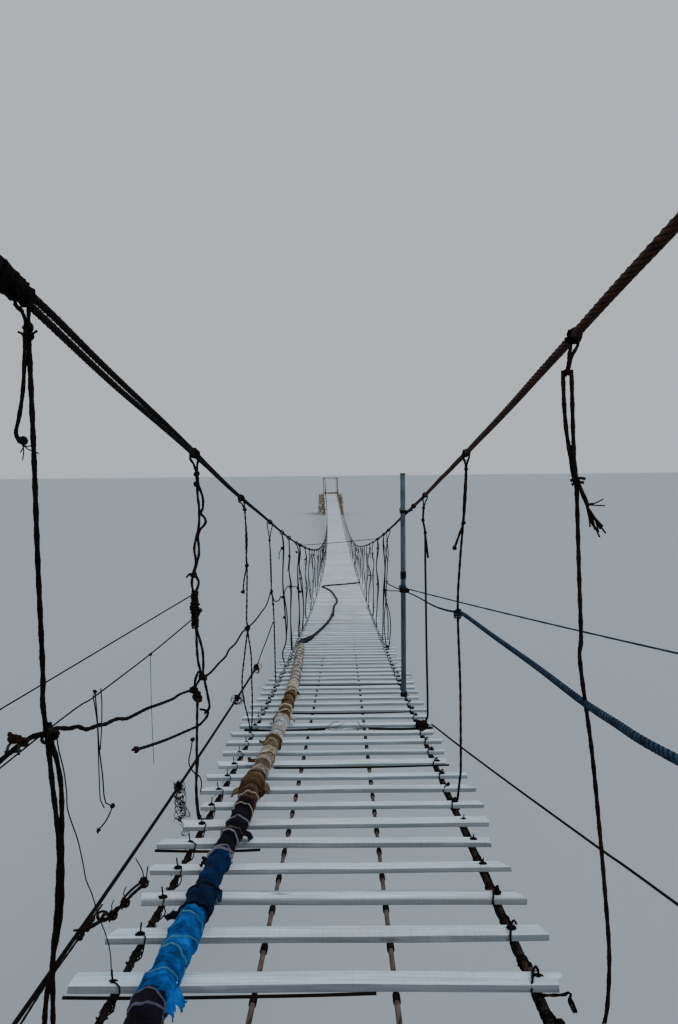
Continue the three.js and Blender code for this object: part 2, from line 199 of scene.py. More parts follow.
def plank_paint():
    """Bleached sawn softwood: its UV runs in metres along and round each board."""
    m = Paint("bleached_plank", 0.85)
    grain = m.streaks(30, 900, 6, 0.65)
    saw = m.streaks(1500, 60, 1, 0.4)
    crack = m.steps(m.streaks(9, 420, 2, 0.4), 0.70, 0.745)
    knots = m.node("TexVoronoi", {"Vector": m.stretched(m.uv, (17, 90, 1)), "Scale": 1.0, "Randomness": 1.0})
    base = m.blend(m.steps(grain, 0.3, 0.7), (0.40, 0.49, 0.575), (0.79, 0.915, 1.0))
    base = m.wash(base, m.streaks(8, 260, 3, 0.5), 0.45, 0.2, 0.6, (0.27, 0.28, 0.29))
    base = m.wash(base, m.streaks(14, 40, 3, 0.6), 0.5, 0.78, 0.6, (0.46, 0.43, 0.38))
    base = m.wash(base, saw, 0.55, 0.75, 0.25, (0.3, 0.31, 0.33))
    base = m.blend(m.times(crack, 0.9), base, (0.07, 0.06, 0.055))
    m.tinted(m.wash(base, knots, 0.085, 0.03, 0.9, (0.09, 0.07, 0.055)))
    height = m.math("ADD", m.times(grain, 0.5), m.times(saw, 0.25))
    m.bump(m.math("SUBTRACT", height, crack), 0.00035, 0.8)
    return m.material


def rope_paint(name, dark, light, rough, metallic, strands=6, furrow=0.0003, rust=None):
    """Laid rope or wire: in its UV one turn of the strands is one unit along and one round; painted shade
    darkens the furrows between the strands.
    """
    m = Paint(name, rough, metallic, 0.05)
    across, along = (m.node("SeparateXYZ", {"Vector": m.uv}, output=i) for i in (0, 1))
    phase = m.times(m.math("SUBTRACT", across, along), math.pi * strands)
    strand = m.math("ABSOLUTE", m.math("SINE", phase))
    spots = m.noise(m.place, 260, 4, 0.65)
    base = m.blend(m.steps(spots, 0.35, 0.7), dark, light)
    if rust:
        base = m.wash(base, m.noise(m.place, 45, 3, 0.6), 0.45, 0.66, 0.8, rust)
    # Painted shade: darker in the furrows between the strands.
    m.tinted(m.wash(base, strand, 0.45, 0.0, 1.0, tuple(0.35 * c for c in dark)))
    m.bump(m.math("ADD", strand, m.times(spots, 0.5)), furrow, 0.9)
    return m.material


def cloth_paint():
    """Faded rags: colour by attribute, woven threads and creases by bump, with painted shade darkening the
    creases.
    """
    m = Paint("wound_rags", 0.95, 0.0, 0.1)
    folds_and_shade = m.streaks(9, 60, 4, 0.6)
    fine = m.noise(m.place, 900, 3, 0.6)
    blotch = m.noise(m.place, 120, 4, 0.65)
    threads = m.node("TexWave", {"Vector": m.uv, "Scale": 60.0, "Distortion": 1.5}, output=1)
    shade = m.blend(m.steps(blotch, 0.3, 0.72), (0.42, 0.42, 0.42), (1.12, 1.12, 1.12))
    base = m.blend(1.0, m.tint, shade, "MULTIPLY")
    # Painted shade: near black in the creases.
    base = m.wash(base, folds_and_shade, 0.52, 0.3, 0.75, (0.006, 0.006, 0.008))
    base = m.wash(base, fine, 0.66, 0.78, 0.12, (0.4, 0.4, 0.4))
    m.put(m.shader, "Base Color", base)
    height = m.math("ADD", folds_and_shade, m.times(threads, 0.12))
    m.bump(m.math("ADD", height, m.times(fine, 0.25)), 0.0012)
    return m.material


def pole_paint():
    """Worn blue paint with scratches, grime and rust along a tube."""
    m = Paint("worn_blue_paint", 0.5, 0.2)
    scratch = m.noise(m.stretched(m.place, (900, 900, 60)), 1.0, 4, 0.7)
    grime = m.noise(m.place, 70, 5, 0.65)
    height = m.node("SeparateXYZ", {"Vector": m.place}, output=2)
    base = m.blend(m.steps(grime, 0.35, 0.7), (0.045, 0.065, 0.090), (0.120, 0.142, 0.168))
    base = m.wash(base, height, 0.45, 0.42, 0.7, (0.012, 0.028, 0.045))
    base = m.wash(base, scratch, 0.66, 0.74, 1.0, (0.24, 0.27, 0.29))
    m.tinted(m.wash(base, grime, 0.68, 0.78, 0.8, (0.12, 0.06, 0.03)))
    m.put(m.shader, "Roughness", m.steps(grime, 1.2, 0.1))
    m.bump(scratch, 0.0002, 0.5)
    return m.material


def timber_paint():
    """Weathered squared timber with grain along the UV's first axis, in metres."""
    m = Paint("weathered_timber", 0.88)
    grain = m.streaks(25, 420, 6, 0.65)
    crack = m.steps(m.streaks(5, 190, 2, 0.4), 0.70, 0.74)
    base = m.blend(m.steps(grain, 0.3, 0.7), (0.13, 0.095, 0.065), (0.34, 0.28, 0.22))
    base = m.wash(base, m.streaks(6, 110, 3, 0.5), 0.5, 0.7, 0.5, (0.36, 0.34, 0.31))
    m.tinted(m.blend(crack, base, (0.03, 0.022, 0.015)))
    m.bump(m.math("SUBTRACT", grain, m.times(crack, 1.5)), 0.0006, 0.9)
    return m.material


def stone_paint():
    """Rough split stone with veins, lichen and pits."""
    m = Paint("rubble_stone", 0.93)
    pits = m.noise(m.place, 420, 6, 0.7)
    veins = m.noise(m.stretched(m.place, (40, 40, 130)), 1.0, 5, 0.6)
    base = m.blend(m.steps(veins, 0.3, 0.7), (0.18, 0.155, 0.13), (0.40, 0.36, 0.31))
    base = m.wash(base, pits, 0.5, 0.75, 0.4, (0.5, 0.48, 0.44))
    m.tinted(m.wash(base, m.noise(m.place, 60, 5, 0.7), 0.64, 0.70, 0.6, (0.42, 0.40, 0.27)))
    m.bump(m.math("ADD", pits, veins), 0.0016, 0.9)
    return m.material


PAINTS = {
    "plank": plank_paint(),
    "dark_wire": rope_paint("dark_wire_rope", (0.010, 0.009, 0.009), (0.038, 0.033, 0.030), 0.75, 0.2,
        rust=(0.050, 0.027, 0.018)),
    "rusty_wire": rope_paint("rusty_wire_rope", (0.028, 0.017, 0.013), (0.105, 0.062, 0.043), 0.7, 0.4,
        rust=(0.115, 0.052, 0.028)),
    "steel": rope_paint("brown_steel_bar", (0.085, 0.062, 0.055), (0.19, 0.15, 0.138), 0.6, 0.35, 1,
        0.00008, (0.13, 0.075, 0.055)),
    "black_rope": rope_paint("black_hose", (0.008, 0.009, 0.011), (0.022, 0.025, 0.029), 0.7, 0.0, 3),
    "blue_rope": rope_paint("blue_laid_rope", (0.017, 0.034, 0.058), (0.050, 0.095, 0.148), 0.85, 0.0, 4,
        0.0006),
    "cloth": cloth_paint(),
    "blue_paint": pole_paint(),
    "timber": timber_paint(),
    "masonry": stone_paint(),
}
WHITE = (1, 1, 1)


# Mesh building
class Piece:
    """Collects points, faces, UVs and tints, and becomes one object."""

    def __init__(self, name, slot, paint=None, replaces=(), raised=None):
        self.name, self.slot, self.paint, self.gone, self.raised = name, slot, paint or slot, replaces, raised
        self.points, self.faces, self.uvs, self.tints, self.count = [], [], [], [], 0

    def add(self, points, faces, uv, tint=WHITE):
        """uv has one row for each corner of each face; tint is one colour or one for each point."""
        points = np.asarray(points, float)
        self.points.append(points)
        self.tints.append(np.broadcast_to(np.asarray(tint, float), (len(points), 3)))
        for group, corners in zip(faces, uv):
            self.faces.append(np.asarray(group) + self.count)
            self.uvs.append(np.asarray(corners, float).reshape(-1, 2))
        self.count += len(points)

    def build(self):
        mesh = bpy.data.meshes.new(self.name)
        points = np.concatenate(self.points)
        if self.raised:
            h = points[:, 2] / S - deck(points[:, 1] / S + SPAN / 2)[1]
            points[:, 2] += RAISE * S * (1 if self.raised == "all" else np.clip((h - 0.05) / 0.2, 0, 1))
        mesh.from_pydata(points.tolist(), [], [f for group in self.faces for f in group.tolist()])
        layer = mesh.uv_layers.new(name="rope")
        layer.data.foreach_set("uv", np.concatenate(self.uvs).ravel().astype(np.float32))
        tint = mesh.attributes.new("tint", "FLOAT_COLOR", "POINT")
        colours = np.column_stack((np.concatenate(self.tints), np.ones(len(points))))
        tint.data.foreach_set("color", colours.ravel().astype(np.float32))
        mesh.polygons.foreach_set("use_smooth", np.ones(len(mesh.polygons), bool))
        mesh.materials.append(PAINTS[self.paint])
        o = bpy.data.objects.new(self.name, mesh)
        bpy.context.scene.collection.objects.link(o)
        if self.paint in ("plank", "timber", "masonry"):
            mesh.set_sharp_from_angle(angle=math.radians(38))
        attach(o, "root")
        if self.gone:
            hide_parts(*self.gone)
        return o


def axes(path):
    """Unit vectors along a path and square to it, without sudden turns."""
    along = np.gradient(path, axis=0)
    along /= np.linalg.norm(along, axis=1)[:, None]
    across = np.empty_like(path)
    last = np.cross(along[0], (0, 0, 1) if abs(along[0][2]) < 0.9 else (1, 0, 0))
    for i, t in enumerate(along):
        last = last - t * (last @ t)
        last = last / math.sqrt(last @ last)
        across[i] = last
    return along, across, np.cross(along, across)


def curve(points, step):
    """Points in metres on a smooth line through the given ones, at about the given step."""
    p = np.asarray(points, float)
    q = np.vstack((2 * p[0] - p[1], p, 2 * p[-1] - p[-2]))
    out = []
    for a, b, c, d in zip(q, q[1:], q[2:], q[3:]):
        n = max(1, round(float(np.linalg.norm(c - b)) / step))
        t = (np.arange(n) / n)[:, None]
        bend = 2 * a - 5 * b + 4 * c - d
        twist = 3 * b - a - 3 * c + d
        out.append(0.5 * (2 * b + (c - a) * t + bend * t**2 + twist * t**3))
    return np.vstack(out + [p[-1:]])


def run_of(path):
    return np.concatenate(([0], np.cumsum(np.linalg.norm(np.diff(path, axis=0), axis=1))))


def ring_faces(rings, sides):
    i = np.arange(rings - 1)[:, None] * sides
    k = np.arange(sides)[None, :]
    n = (k + 1) % sides
    return np.stack((i + k, i + n, i + n + sides, i + k + sides), -1).reshape(-1, 4)


def end_fans(rings, sides):
    """The two ends' faces round the two points that follow the rings."""
    a = np.arange(sides)
    b = (a + 1) % sides
    middle = np.full(sides, rings * sides)
    last = (rings - 1) * sides
    return [np.stack((middle, b, a), -1), np.stack((middle + 1, last + a, last + b), -1)]


def ring_uv(u, v, sides):
    """u is round the ring for each ring, v is along it, one for each ring."""
    a = u[:, None] + (np.arange(sides) / sides)[None, :]
    b = a + 1 / sides
    low, high = v[:-1, None] + 0 * a[:-1], v[1:, None] + 0 * a[1:]
    corners = ((a[:-1], low), (b[:-1], low), (b[1:], high), (a[1:], high))
    return np.stack([np.stack(c, -1) for c in corners], 2)


def closed_tube(piece, rings, ends, u, v, tint):
    """Rings of points with their UV round and along the tube, closed at both ends."""
    n, sides = rings.shape[:2]
    flat = np.zeros((sides, 3, 2))
    points = np.vstack((rings.reshape(-1, 3), ends))
    piece.add(points, [ring_faces(n, sides)] + end_fans(n, sides), [ring_uv(u, v, sides), flat, flat], tint)


def prism(piece, rings, ends, u, v, cap, tint):
    """Rings of points along a board with u along it and v round it; cap is the UV of its ends' faces."""
    stations, n = rings.shape[:2]
    quads = np.zeros((stations - 1, n, 4, 2))
    quads[..., 0] = np.stack((u[:-1], u[:-1], u[1:], u[1:]), -1)[:, None, :]
    quads[..., 1] = np.stack((v[:-1], v[1:], v[1:], v[:-1]), -1)[None, :, :]
    points = np.vstack((rings.reshape(-1, 3), ends))
    faces = [ring_faces(stations, n)] + end_fans(stations, n)
    piece.add(points, faces, [quads.reshape(-1, 4, 2), cap, cap], tint)


def perimeter(profile):
    """The way round a closed profile to each of its corners and back to the first."""
    steps = np.diff(np.vstack((profile, profile[:1])), axis=0)
    return np.concatenate(([0], np.cumsum(np.hypot(*steps.T))))


def tube(piece, path, radius, sides=8, lobes=0, depth=0.3, turn=None, tint=WHITE):
    """A rope in metres swept along path. turn is the length of one turn of its strands in metres."""
    path = np.asarray(path, float)
    radius = np.broadcast_to(np.asarray(radius, float), len(path))
    _, across, up = axes(path)
    turns = run_of(path) / (turn or 14 * float(radius.mean()))
    spin = turns if lobes else 0 * turns
    k = np.arange(sides) / sides
    angle = (2 * np.pi * (k[None, :] + spin[:, None]))[..., None]
    r = radius[:, None] * (1 - depth * (0.5 - 0.5 * np.cos(2 * np.pi * lobes * k))[None, :] * (lobes > 0))
    out = np.cos(angle) * across[:, None, :] + np.sin(angle) * up[:, None, :]
    closed_tube(piece, path[:, None, :] + r[..., None] * out, path[[0, -1]], spin, turns, tint)


def wire(piece, points, radius, step=0.03, sides=6, lobes=0, depth=0.3, turn=None, tint=WHITE):
    """A wire through points (x, y, h); radius, step and turn are in spacings."""
    tube(piece, curve(place(points), step * S), radius * S, sides, lobes, depth, turn * S if turn else None,
        tint)


def twisted(piece, points, radius, tint=WHITE, step=0.0075):
    """Two thin strands laid round each other, close to the eye."""
    wire(piece, points, radius, step, 8, 2, 0.2, 0.09, tint)


def coil(piece, path, start, length, coil_radius, wire_radius, turns, tint=WHITE, sides=5, seed=0):
    """Wire wound round a path in metres, from start for length, both in metres along it."""
    run = run_of(path)
    steps = max(8, int(turns * 10))
    s = np.linspace(start, start + length, steps)
    _, across, up = axes(path)
    centre, side, top = (np.column_stack([np.interp(s, run, way[:, i]) for i in range(3)])
                         for way in (path, across, up))
    wobble = 1 + 0.12 * np.sin(np.arange(steps) * 1.7 + seed)
    a = (2 * np.pi * turns * np.linspace(0, 1, steps) + seed)[:, None]
    r = (coil_radius * wobble)[:, None]
    tube(piece, centre + r * (np.cos(a) * side + np.sin(a) * top), wire_radius, sides, tint=tint)


def ring(piece, centre, radius, wire_radius, seed, tint=WHITE, sides=5, steps=14, droop=0.0):
    """A loop of wire in metres, turned by chance from its seed."""
    r = np.random.default_rng(seed)
    a, b = np.linalg.qr(r.normal(size=(3, 3)))[0][:2]
    t = np.linspace(0, 2 * np.pi * r.uniform(0.86, 1.02), steps)
    x = 1 + 0.25 * r.uniform(-1, 1)
    path = centre + radius * (np.cos(t)[:, None] * a * x + np.sin(t)[:, None] * b)
    path[:, 2] -= droop * radius * (1 - np.cos(t))
    tube(piece, path, wire_radius, sides, tint=tint)


def knot(piece, at, size=0.02, thin=0.0055, seed=0, tint=WHITE, loops=4):
    """A wire knot at (x, y, h): a few tight loops round a point."""
    centre = place([at])[0]
    r = np.random.default_rng(seed + 100)
    for i in range(loops):
        off = r.normal(size=3) * size * 0.14 * S
        ring(piece, centre + off, size * S * r.uniform(0.28, 0.46), 0.7 * thin * S, seed * 7 + i, tint, 6, 12)


def tangle(piece, at, size=0.05, thin=0.0022, count=12, seed=0, tint=WHITE, droop=0.6):
    """Loose springy loops of old wire round a point."""
    centre = place([at])[0]
    r = np.random.default_rng(seed + 300)
    for i in range(count):
        off = r.normal(size=3) * size * 0.28 * S * (1, 0.6, 1)
        ring(piece, centre + off, size * S * r.uniform(0.35, 1.0), thin * S, seed * 31 + i, tint, 4, 16,
            droop)


def fray(piece, at, toward, length, count, seed, radius=0.0022, spread=0.35, tint=WHITE):
    """Loose strand ends that spread from a point."""
    r = np.random.default_rng(seed + 500)
    start = np.asarray(at, float)
    way = np.asarray(toward, float)
    way = way / np.linalg.norm(way)
    for _ in range(count):
        a = way + r.normal(size=3) * spread
        b = a + r.normal(size=3) * spread * 1.4
        long = length * r.uniform(0.55, 1.1)
        middle = start + a * long * 0.5
        wire(piece, [start, middle, middle + b * long * 0.5], radius, 0.012, 4, tint=tint)


# Planks
FIRST_MEASURED = 7
LEFT_OVERHANGS = (0.1, 0.081, 0.061, 0.083, 0.112, 0.072, 0.039, 0.076, 0.098, 0.079)
RIGHT_OVERHANGS = (
    0.063, 0.08, 0.068, 0.068, 0.059, 0.094, 0.103, 0.095, 0.113, 0.049,
    0.073, 0.086, 0.064, 0.067, 0.076, 0.095, 0.098, 0.081)
RIGHT_SLANTS = {8: -0.24, 9: -0.39, 10: -0.45, 11: 0.0, 12: 0.05, 13: -0.35, 14: -0.6, 15: 0.0}
LEFT_SLANTS = {7: 0.1, 8: 0.22, 9: -0.25, 10: 0.1, 11: 0.3, 12: -0.3, 13: 0.15, 14: 0.3}
SPLIT_BOARD = 7
NEAR_BOARDS = 46
MIDDLE_BOARDS = 120
EDGE = 0.0013
RAGGED = 0.0022
SKEW = 0.022


def overhang(k, measured, seed):
    i = k - FIRST_MEASURED
    return measured[i] if 0 <= i < len(measured) else 0.09 * (0.65 + 0.7 * uneven(k + seed))


def waves(x, seed, rates=(3.1, 7.3, 15.7)):
    """A smooth uneven line of about unit height along x."""
    r = np.random.default_rng(seed)
    return sum(np.sin(x * rate + r.uniform(0, 6.3)) * r.uniform(0.4, 1) / (i + 1)
               for i, rate in enumerate(rates))


def board_section(k, x, r):
    """Corners of the sawn section at each station: how deep along the bridge and how high over the bed."""
    half = PLANK_HALF * (1 + 0.05 * r.uniform(-1, 1) + 0.035 * waves(x, 50 + k))
    thick = THICK * (1 + 0.10 * r.uniform(-1, 1) + 0.05 * waves(x, 150 + k, (2.3, 5.1, 11)))
    e = EDGE * (1 + 0.5 * waves(x, 250 + k, (9, 23, 61)))
    cup = 0.0006 * r.uniform(-1, 1)
    none = np.zeros(len(x))
    corners = (
        (half, thick - e), (half - e, thick), (0.4 * half, thick + cup), (-0.4 * half, thick + cup),
        (-half + e, thick), (-half, thick - e), (-half, e), (-half + e, none), (none, none), (half - e, none),
        (half, e))
    return np.stack([a for a, _ in corners], 1), np.stack([b for _, b in corners], 1)


def ragged_ends(k, depth, r):
    """How far each corner stands out along the board: its sawn ends slant and are torn."""
    slants = (LEFT_SLANTS.get(k, 0.22 * r.normal()), RIGHT_SLANTS.get(k, 0.3 * r.normal()))
    corners = depth.shape[1]
    shift = np.zeros_like(depth)
    for end, slant in zip((0, -1), slants):
        shift[end] = slant * depth[end] + RAGGED * r.normal(size=corners)
    if k == SPLIT_BOARD:
        split = depth[-1] < 0.004
        shift[-1] = np.where(split, -0.019, 0.0) + 0.0015 * r.normal(size=corners)
        shift[-2] = np.where(split, 0.004, 0.0)
    return shift


def on_deck(points, y):
    """Points (x, y, h) of a board at y, turned square to the deck's slope there, in metres."""
    x0, z0 = deck(y)
    slope = (deck(y + 0.1)[1] - deck(y - 0.1)[1]) / 0.2
    x, along, h = np.moveaxis(points, -1, 0)
    return np.stack((x0 + x, along - SPAN / 2 - h * slope, z0 + h + (along - y) * slope), -1) * S


def board_tone_and_shade(k, depth, height, r):
    """Bleached tone of a board with painted light: painted shade on its underside and on its front and back
    faces, less of it far away, and a painted paleness that grows with distance from the eye.
    """
    # Painted light: boards further from the eye are made paler and warmer.
    far = float(np.clip((k - 25) / 45, 0, 1))
    white = 0.90 + 0.09 * uneven(k + 77) + 0.1 * far
    tone = np.array((1.0 + 0.12 * far, 1.0 + 0.05 * far, 1.0)) * white
    tone = tone + 0.025 * r.uniform(-1, 1) * np.array((1, 0, -1))
    tints = np.repeat(tone[None, :], depth.size + 2, 0)
    # Painted shade on the board's underside.
    tints[:-2][np.tile(height[0] < 0.3 * THICK, len(depth))] *= 0.8
    # Painted shade on the board's front and back faces, weaker far away.
    tints[:-2][np.tile(np.abs(depth[0]) > 0.98 * abs(depth[0, 0]), len(depth))] *= 0.4 + 0.55 * far
    tints[-2:] *= 0.7
    return tints


def board(piece, k):
    """One plank: an uneven sawn section swept along x, with worn edges and ragged ends."""
    y = plank_y(k)
    stations = 44 if k < NEAR_BOARDS else 14 if k < MIDDLE_BOARDS else 7
    r = np.random.default_rng(4000 + k)
    x = np.linspace(-0.5 - overhang(k, LEFT_OVERHANGS, 500), 0.5 + overhang(k, RIGHT_OVERHANGS, 900),
        stations)
    depth, height = board_section(k, x, r)
    across = perimeter(np.column_stack((depth.mean(0), height.mean(0))))
    chips = r.uniform(0, 1, depth.shape) < 0.05
    height -= np.where(chips & (height > 0.5 * THICK), 0.0011, 0) * (stations > 20)
    shift = ragged_ends(k, depth, r)
    skew = (uneven(k) - 0.5) * SKEW - (deck(y + 0.1)[0] - deck(y - 0.1)[0]) / 0.2
    droop = 0.0022 * waves(x, 350 + k, (1.7, 4.3, 9))
    roll = 0.035 * r.normal()
    column = x[:, None]
    points = (column + shift, y + column * skew + depth, BED + droop[:, None] + height + roll * depth)
    rings = on_deck(np.stack(points, -1), y)
    u = (x + r.uniform(0, 40)) * S
    v = (across + k * 3.7) * S
    cap = np.zeros((depth.shape[1], 3, 2))
    cap[:, 1:] = (0.0004, 0.002)
    ends = np.vstack((rings[0].mean(0), rings[-1].mean(0)))
    prism(piece, rings, ends, u, v, cap + (u[0], v[0]), board_tone_and_shade(k, depth, height, r))


bay_size = PLANKS // BAYS
for bay in range(BAYS):
    number = f"{bay + 1:02d}"
    planks = Piece("boards_" + number, "plank", replaces=("deck_planks_" + number,))
    for k in range(bay * bay_size, (bay + 1) * bay_size):
        board(planks, k)
    planks.build()


# Thin black rods slung under the front edges of some planks
RODS = {7: (-0.61, 0.12), 11: (-0.62, -0.25), 16: (-0.3, 0.56), 22: (-0.34, 0.5), 27: (-0.33, 0.52)}
PARTED_ROD = 20
ROD_TINT = (0.5, 0.5, 0.55)
rods = Piece("cross_rods", "dark_wire")
for k, (a, b) in RODS.items():
    x = np.linspace(a, b, 9)
    sag = 0.004 * np.sin((x - a) / (b - a) * np.pi) + 0.0012 * waves(x, k)
    front = plank_y(k) - PLANK_HALF - 0.004 + (uneven(k) - 0.5) * SKEW * x
    thick = 0.0046 if k != SPLIT_BOARD else 0.0038
    wire(rods, np.column_stack((x, front, BED + 0.003 - sag)), thick, 0.05, tint=ROD_TINT)
gap_y = plank_y(PARTED_ROD) - PLANK_HALF - 0.008
for a, b in ((-0.56, -0.07), (0.19, 0.58)):
    x = np.linspace(a, b, 7)
    sag = 0.006 * np.sin((x - a) / (b - a) * 3.1)
    wire(rods, np.column_stack((x, gap_y + 0 * x, BED - 0.004 - sag)), 0.0075, 0.05, tint=ROD_TINT)
rods.build()
wisps = Piece("rod_wisps", "plank", "cloth")
for x, way in ((-0.07, 1), (0.19, -1)):
    fray(wisps, (x, gap_y, BED), (way, 0, 0.05), 0.1, 9, int(100 + 10 * x), 0.0025, 0.22, (0.5, 0.52, 0.52))
wisps.build()


# Deck cables
NEAR_ROPE = 9.0
ANCHOR_Y = 2.3
ANCHOR_HALF = 8 / 120
END_REACH = ANCHOR_Y - ANCHOR_HALF
LEFT_R = 0.0105
RIGHT_R = 0.0118
INNER_R = 0.0068


def cable_stretch(a, b, x, h, step):
    n = max(2, int(round((b - a) / step)) + 1)
    y = np.linspace(a, b, n)
    return np.column_stack((x + 0 * y, y, h + 0 * y))


def long_cable(piece, x, h, radius, lobes, turn, tint=WHITE, wander=0.0, depth=0.36):
    """A cable from one anchor beam to the other; its strands are modelled near the eye."""
    for a, b, step, strands in ((-END_REACH, 0.9, 0.06, 0), (0.9, NEAR_ROPE, turn / 10, lobes),
            (NEAR_ROPE, SPAN + END_REACH, 0.3, 0)):
        line = cable_stretch(a, b, x, h, step)
        line[:, 0] += wander * waves(line[:, 1], 5, (2.1, 4.9, 11))
        line[:, 2] += 0.5 * wander * waves(line[:, 1], 6, (2.6, 5.9, 13))
        tube(piece, place(line), radius * S, max(8, 3 * strands), strands, depth, turn * S, tint)


left_cable = Piece("left_cable_rope", "dark_wire", replaces=("left_deck_cable",))
long_cable(left_cable, -0.5, 0.001, LEFT_R, 5, 0.16, (0.8, 0.75, 0.75), 0.0012)
right_cable = Piece("right_cable_rope", "rusty_wire", replaces=("right_deck_cable",))
long_cable(right_cable, 0.5, 0.0, RIGHT_R, 6, 0.17, (0.64, 0.72, 0.96), 0.0015)
inner_cables = Piece("inner_cable_bars", "rusty_wire", "steel",
    replaces=("left_inner_cable", "right_inner_cable"))
for side in (-1, 1):
    long_cable(inner_cables, side / 6, 0.005, INNER_R, 0, 0.2)


# Lashings, washers and bolts that hold the planks to the cables
LASHED_TO = 62
INNER_LASHED_TO = 90
BARE_BOARDS = (10, 11, 12)
BLACK = (0.55, 0.55, 0.62)
fittings = Piece("plank_fittings", "dark_wire")
lashings = Piece("plank_lashings", "dark_wire")


def disc(at, radius, thick, sides):
    """A washer, nut or pin that stands on a point (x, y, h)."""
    x, y, h = at
    tube(fittings, place([at, (x, y, h + thick)]), radius * S, sides, tint=BLACK)


def fitting(k, side):
    """Washer and leaning bolt on a plank over an outer cable; far planks have a clip below instead."""
    r = np.random.default_rng(9000 + 2 * k + (side > 0))
    x, y = side * 0.5 + r.normal() * 0.004, plank_y(k) + r.normal() * 0.003
    lean = r.normal() * 0.12
    if k >= NEAR_BOARDS:
        disc((x, y, TOP), 0.012, 0.004, 7)
        disc((x, y, TOP + 0.004), 0.004, 0.018, 4)
        disc((x, y - PLANK_HALF - 0.004, -0.012), 0.009, 0.03, 5)
        return
    disc((x, y, TOP), 0.0135, 0.0028, 16)
    disc((x, y, TOP + 0.0028), 0.0062, 0.0055, 6)
    stem = 0.034 if side < 0 else 0.02
    wire(fittings, [(x + lean * t * stem, y, TOP + t * stem) for t in (0, 0.5, 1)], 0.0024, 0.01, tint=BLACK)


def left_lashing(k):
    """Wire round a plank's front edge and down to the left cable, with two short ends behind."""
    r = np.random.default_rng(9500 + k)
    x, y = -0.5, plank_y(k)
    j = r.normal(size=8) * 0.003
    front = y - PLANK_HALF
    wire(lashings, [
        (x - 0.008, y + 0.004, TOP + 0.004), (x + 0.006, y - 0.008, TOP + 0.007),
        (x + 0.018 + j[0], front + 0.008, TOP + 0.005), (x + 0.021 + j[1], front - 0.003, TOP - 0.004),
        (x + 0.018 + j[2], front - 0.006, 0.008), (x + 0.012, front - 0.012, -0.009),
        (x - 0.006, front - 0.024, -0.015), (x - 0.014 + j[3], front - 0.05, -0.004),
        (x - 0.008, front - 0.075 + j[4], 0.012), (x + 0.012, front - 0.1 + j[5], 0.006)],
        0.0020, 0.012, tint=BLACK)
    back = y + PLANK_HALF
    for dx in (-0.03, 0.012):
        wire(lashings, [(x - 0.01, back + 0.012, BED - 0.002), (x - 0.01 + 0.5 * dx, back + 0.02, -0.006),
                        (x - 0.008 + dx, back + 0.034, -0.02 + j[6])], 0.0014, 0.012, 5, tint=BLACK)


def windings(x, h, end, groups):
    """Short windings on a deck cable up to an end; each group has its boards, shift, length and so on."""
    line = place(cable_stretch(0.2, end, x, h, 0.02))
    run, y = run_of(line), np.linspace(0.2, end, len(line))
    for boards, shift, long, out, thin, turns, tint, sides, seed in groups:
        for k in boards:
            at = float(np.interp(plank_y(k) + shift, y, run))
            coil(lashings, line, at, long * S, out * S, thin * S, turns, tint, sides, k + seed)


def right_snake():
    """Black wire rope that loops over each plank and back under the next along the right cable."""
    points = []
    for k in range(LASHED_TO, 3, -1):
        r = np.random.default_rng(9700 + k)
        y, j = plank_y(k), r.normal(size=6) * 0.003
        if k in BARE_BOARDS:
            points += [
                (0.5125 + j[0], y + 0.075, 0.002), (0.513 + j[1], y, -0.002), (0.512 + j[2], y - 0.12, 0.002)]
            continue
        points += [
            (0.516 + j[0], y + 0.075, 0.004), (0.517 + j[1], y + 0.047, 0.022),
            (0.507, y + 0.03, TOP + 0.009), (0.494, y + 0.004, TOP + 0.007),
            (0.484 + j[2], y - PLANK_HALF + 0.004, TOP + 0.009),
            (0.481 + j[3], y - PLANK_HALF - 0.009, TOP - 0.008), (0.485, y - 0.052, 0.004),
            (0.497 + j[4], y - 0.085, -0.0135), (0.513, y - 0.12, -0.004), (0.509 + j[5], y - 0.14, 0.011)]
    wire(lashings, points, 0.0040, 0.01, 8, 2, 0.3, 0.05, ROD_TINT)


def edge_hook():
    """Wire hook at the right end of the first whole plank."""
    y = plank_y(SPLIT_BOARD) - PLANK_HALF
    points = ((0.5, 0.01, BED - 0.004), (0.53, 0.012, BED - 0.003), (0.556, 0.012, BED - 0.002),
              (0.564, 0.014, 0.019), (0.570, 0.016, 0.016), (0.565, 0.02, 0.0), (0.573, 0.03, -0.017),
              (0.579, 0.03, -0.018), (0.575, 0.026, -0.008), (0.569, 0.016, 0.005))
    wire(lashings, [(x, y - back, h) for x, back, h in points], 0.0042, 0.006, 8, 2, 0.3, 0.05, BLACK)


for k in range(PLANKS):
    for side in (-1, 1):
        fitting(k, side)
        if k < INNER_LASHED_TO:
            front = plank_y(k) - PLANK_HALF
            line = place(cable_stretch(front - 0.02, front + 0.012, side / 6, 0.005, 0.016))
            tube(fittings, line, (0.0092 + 0.0012 * uneven(k)) * S, 10 if k < NEAR_BOARDS else 5, tint=BLACK)
    if k < LASHED_TO:
        left_lashing(k)
windings(-0.5, 0.001, 16, (
    (range(1, 30), -0.075, 0.04, 0.0112, 0.0016, 3, BLACK, 5, 0),
    (range(30, 60), -0.075, 0.04, 0.0112, 0.0016, 2, BLACK, 5, 0),
    (range(2, 40, 3), 0.05, 0.14, 0.0116, 0.0014, 2.5, BLACK, 4, 3)))
right_snake()
windings(0.5, 0, 14, (
    (range(1, 55), -0.13, 0.03, 0.0135, 0.0024, 2.5, BLACK, 6, 0),
    (range(2, 36, 2), 0.035, 0.06, 0.0127, 0.0016, 2.5, (1.0, 0.7, 0.55), 5, 9)))
edge_hook()
for piece in (fittings, lashings, left_cable, right_cable, inner_cables):
    piece.build()


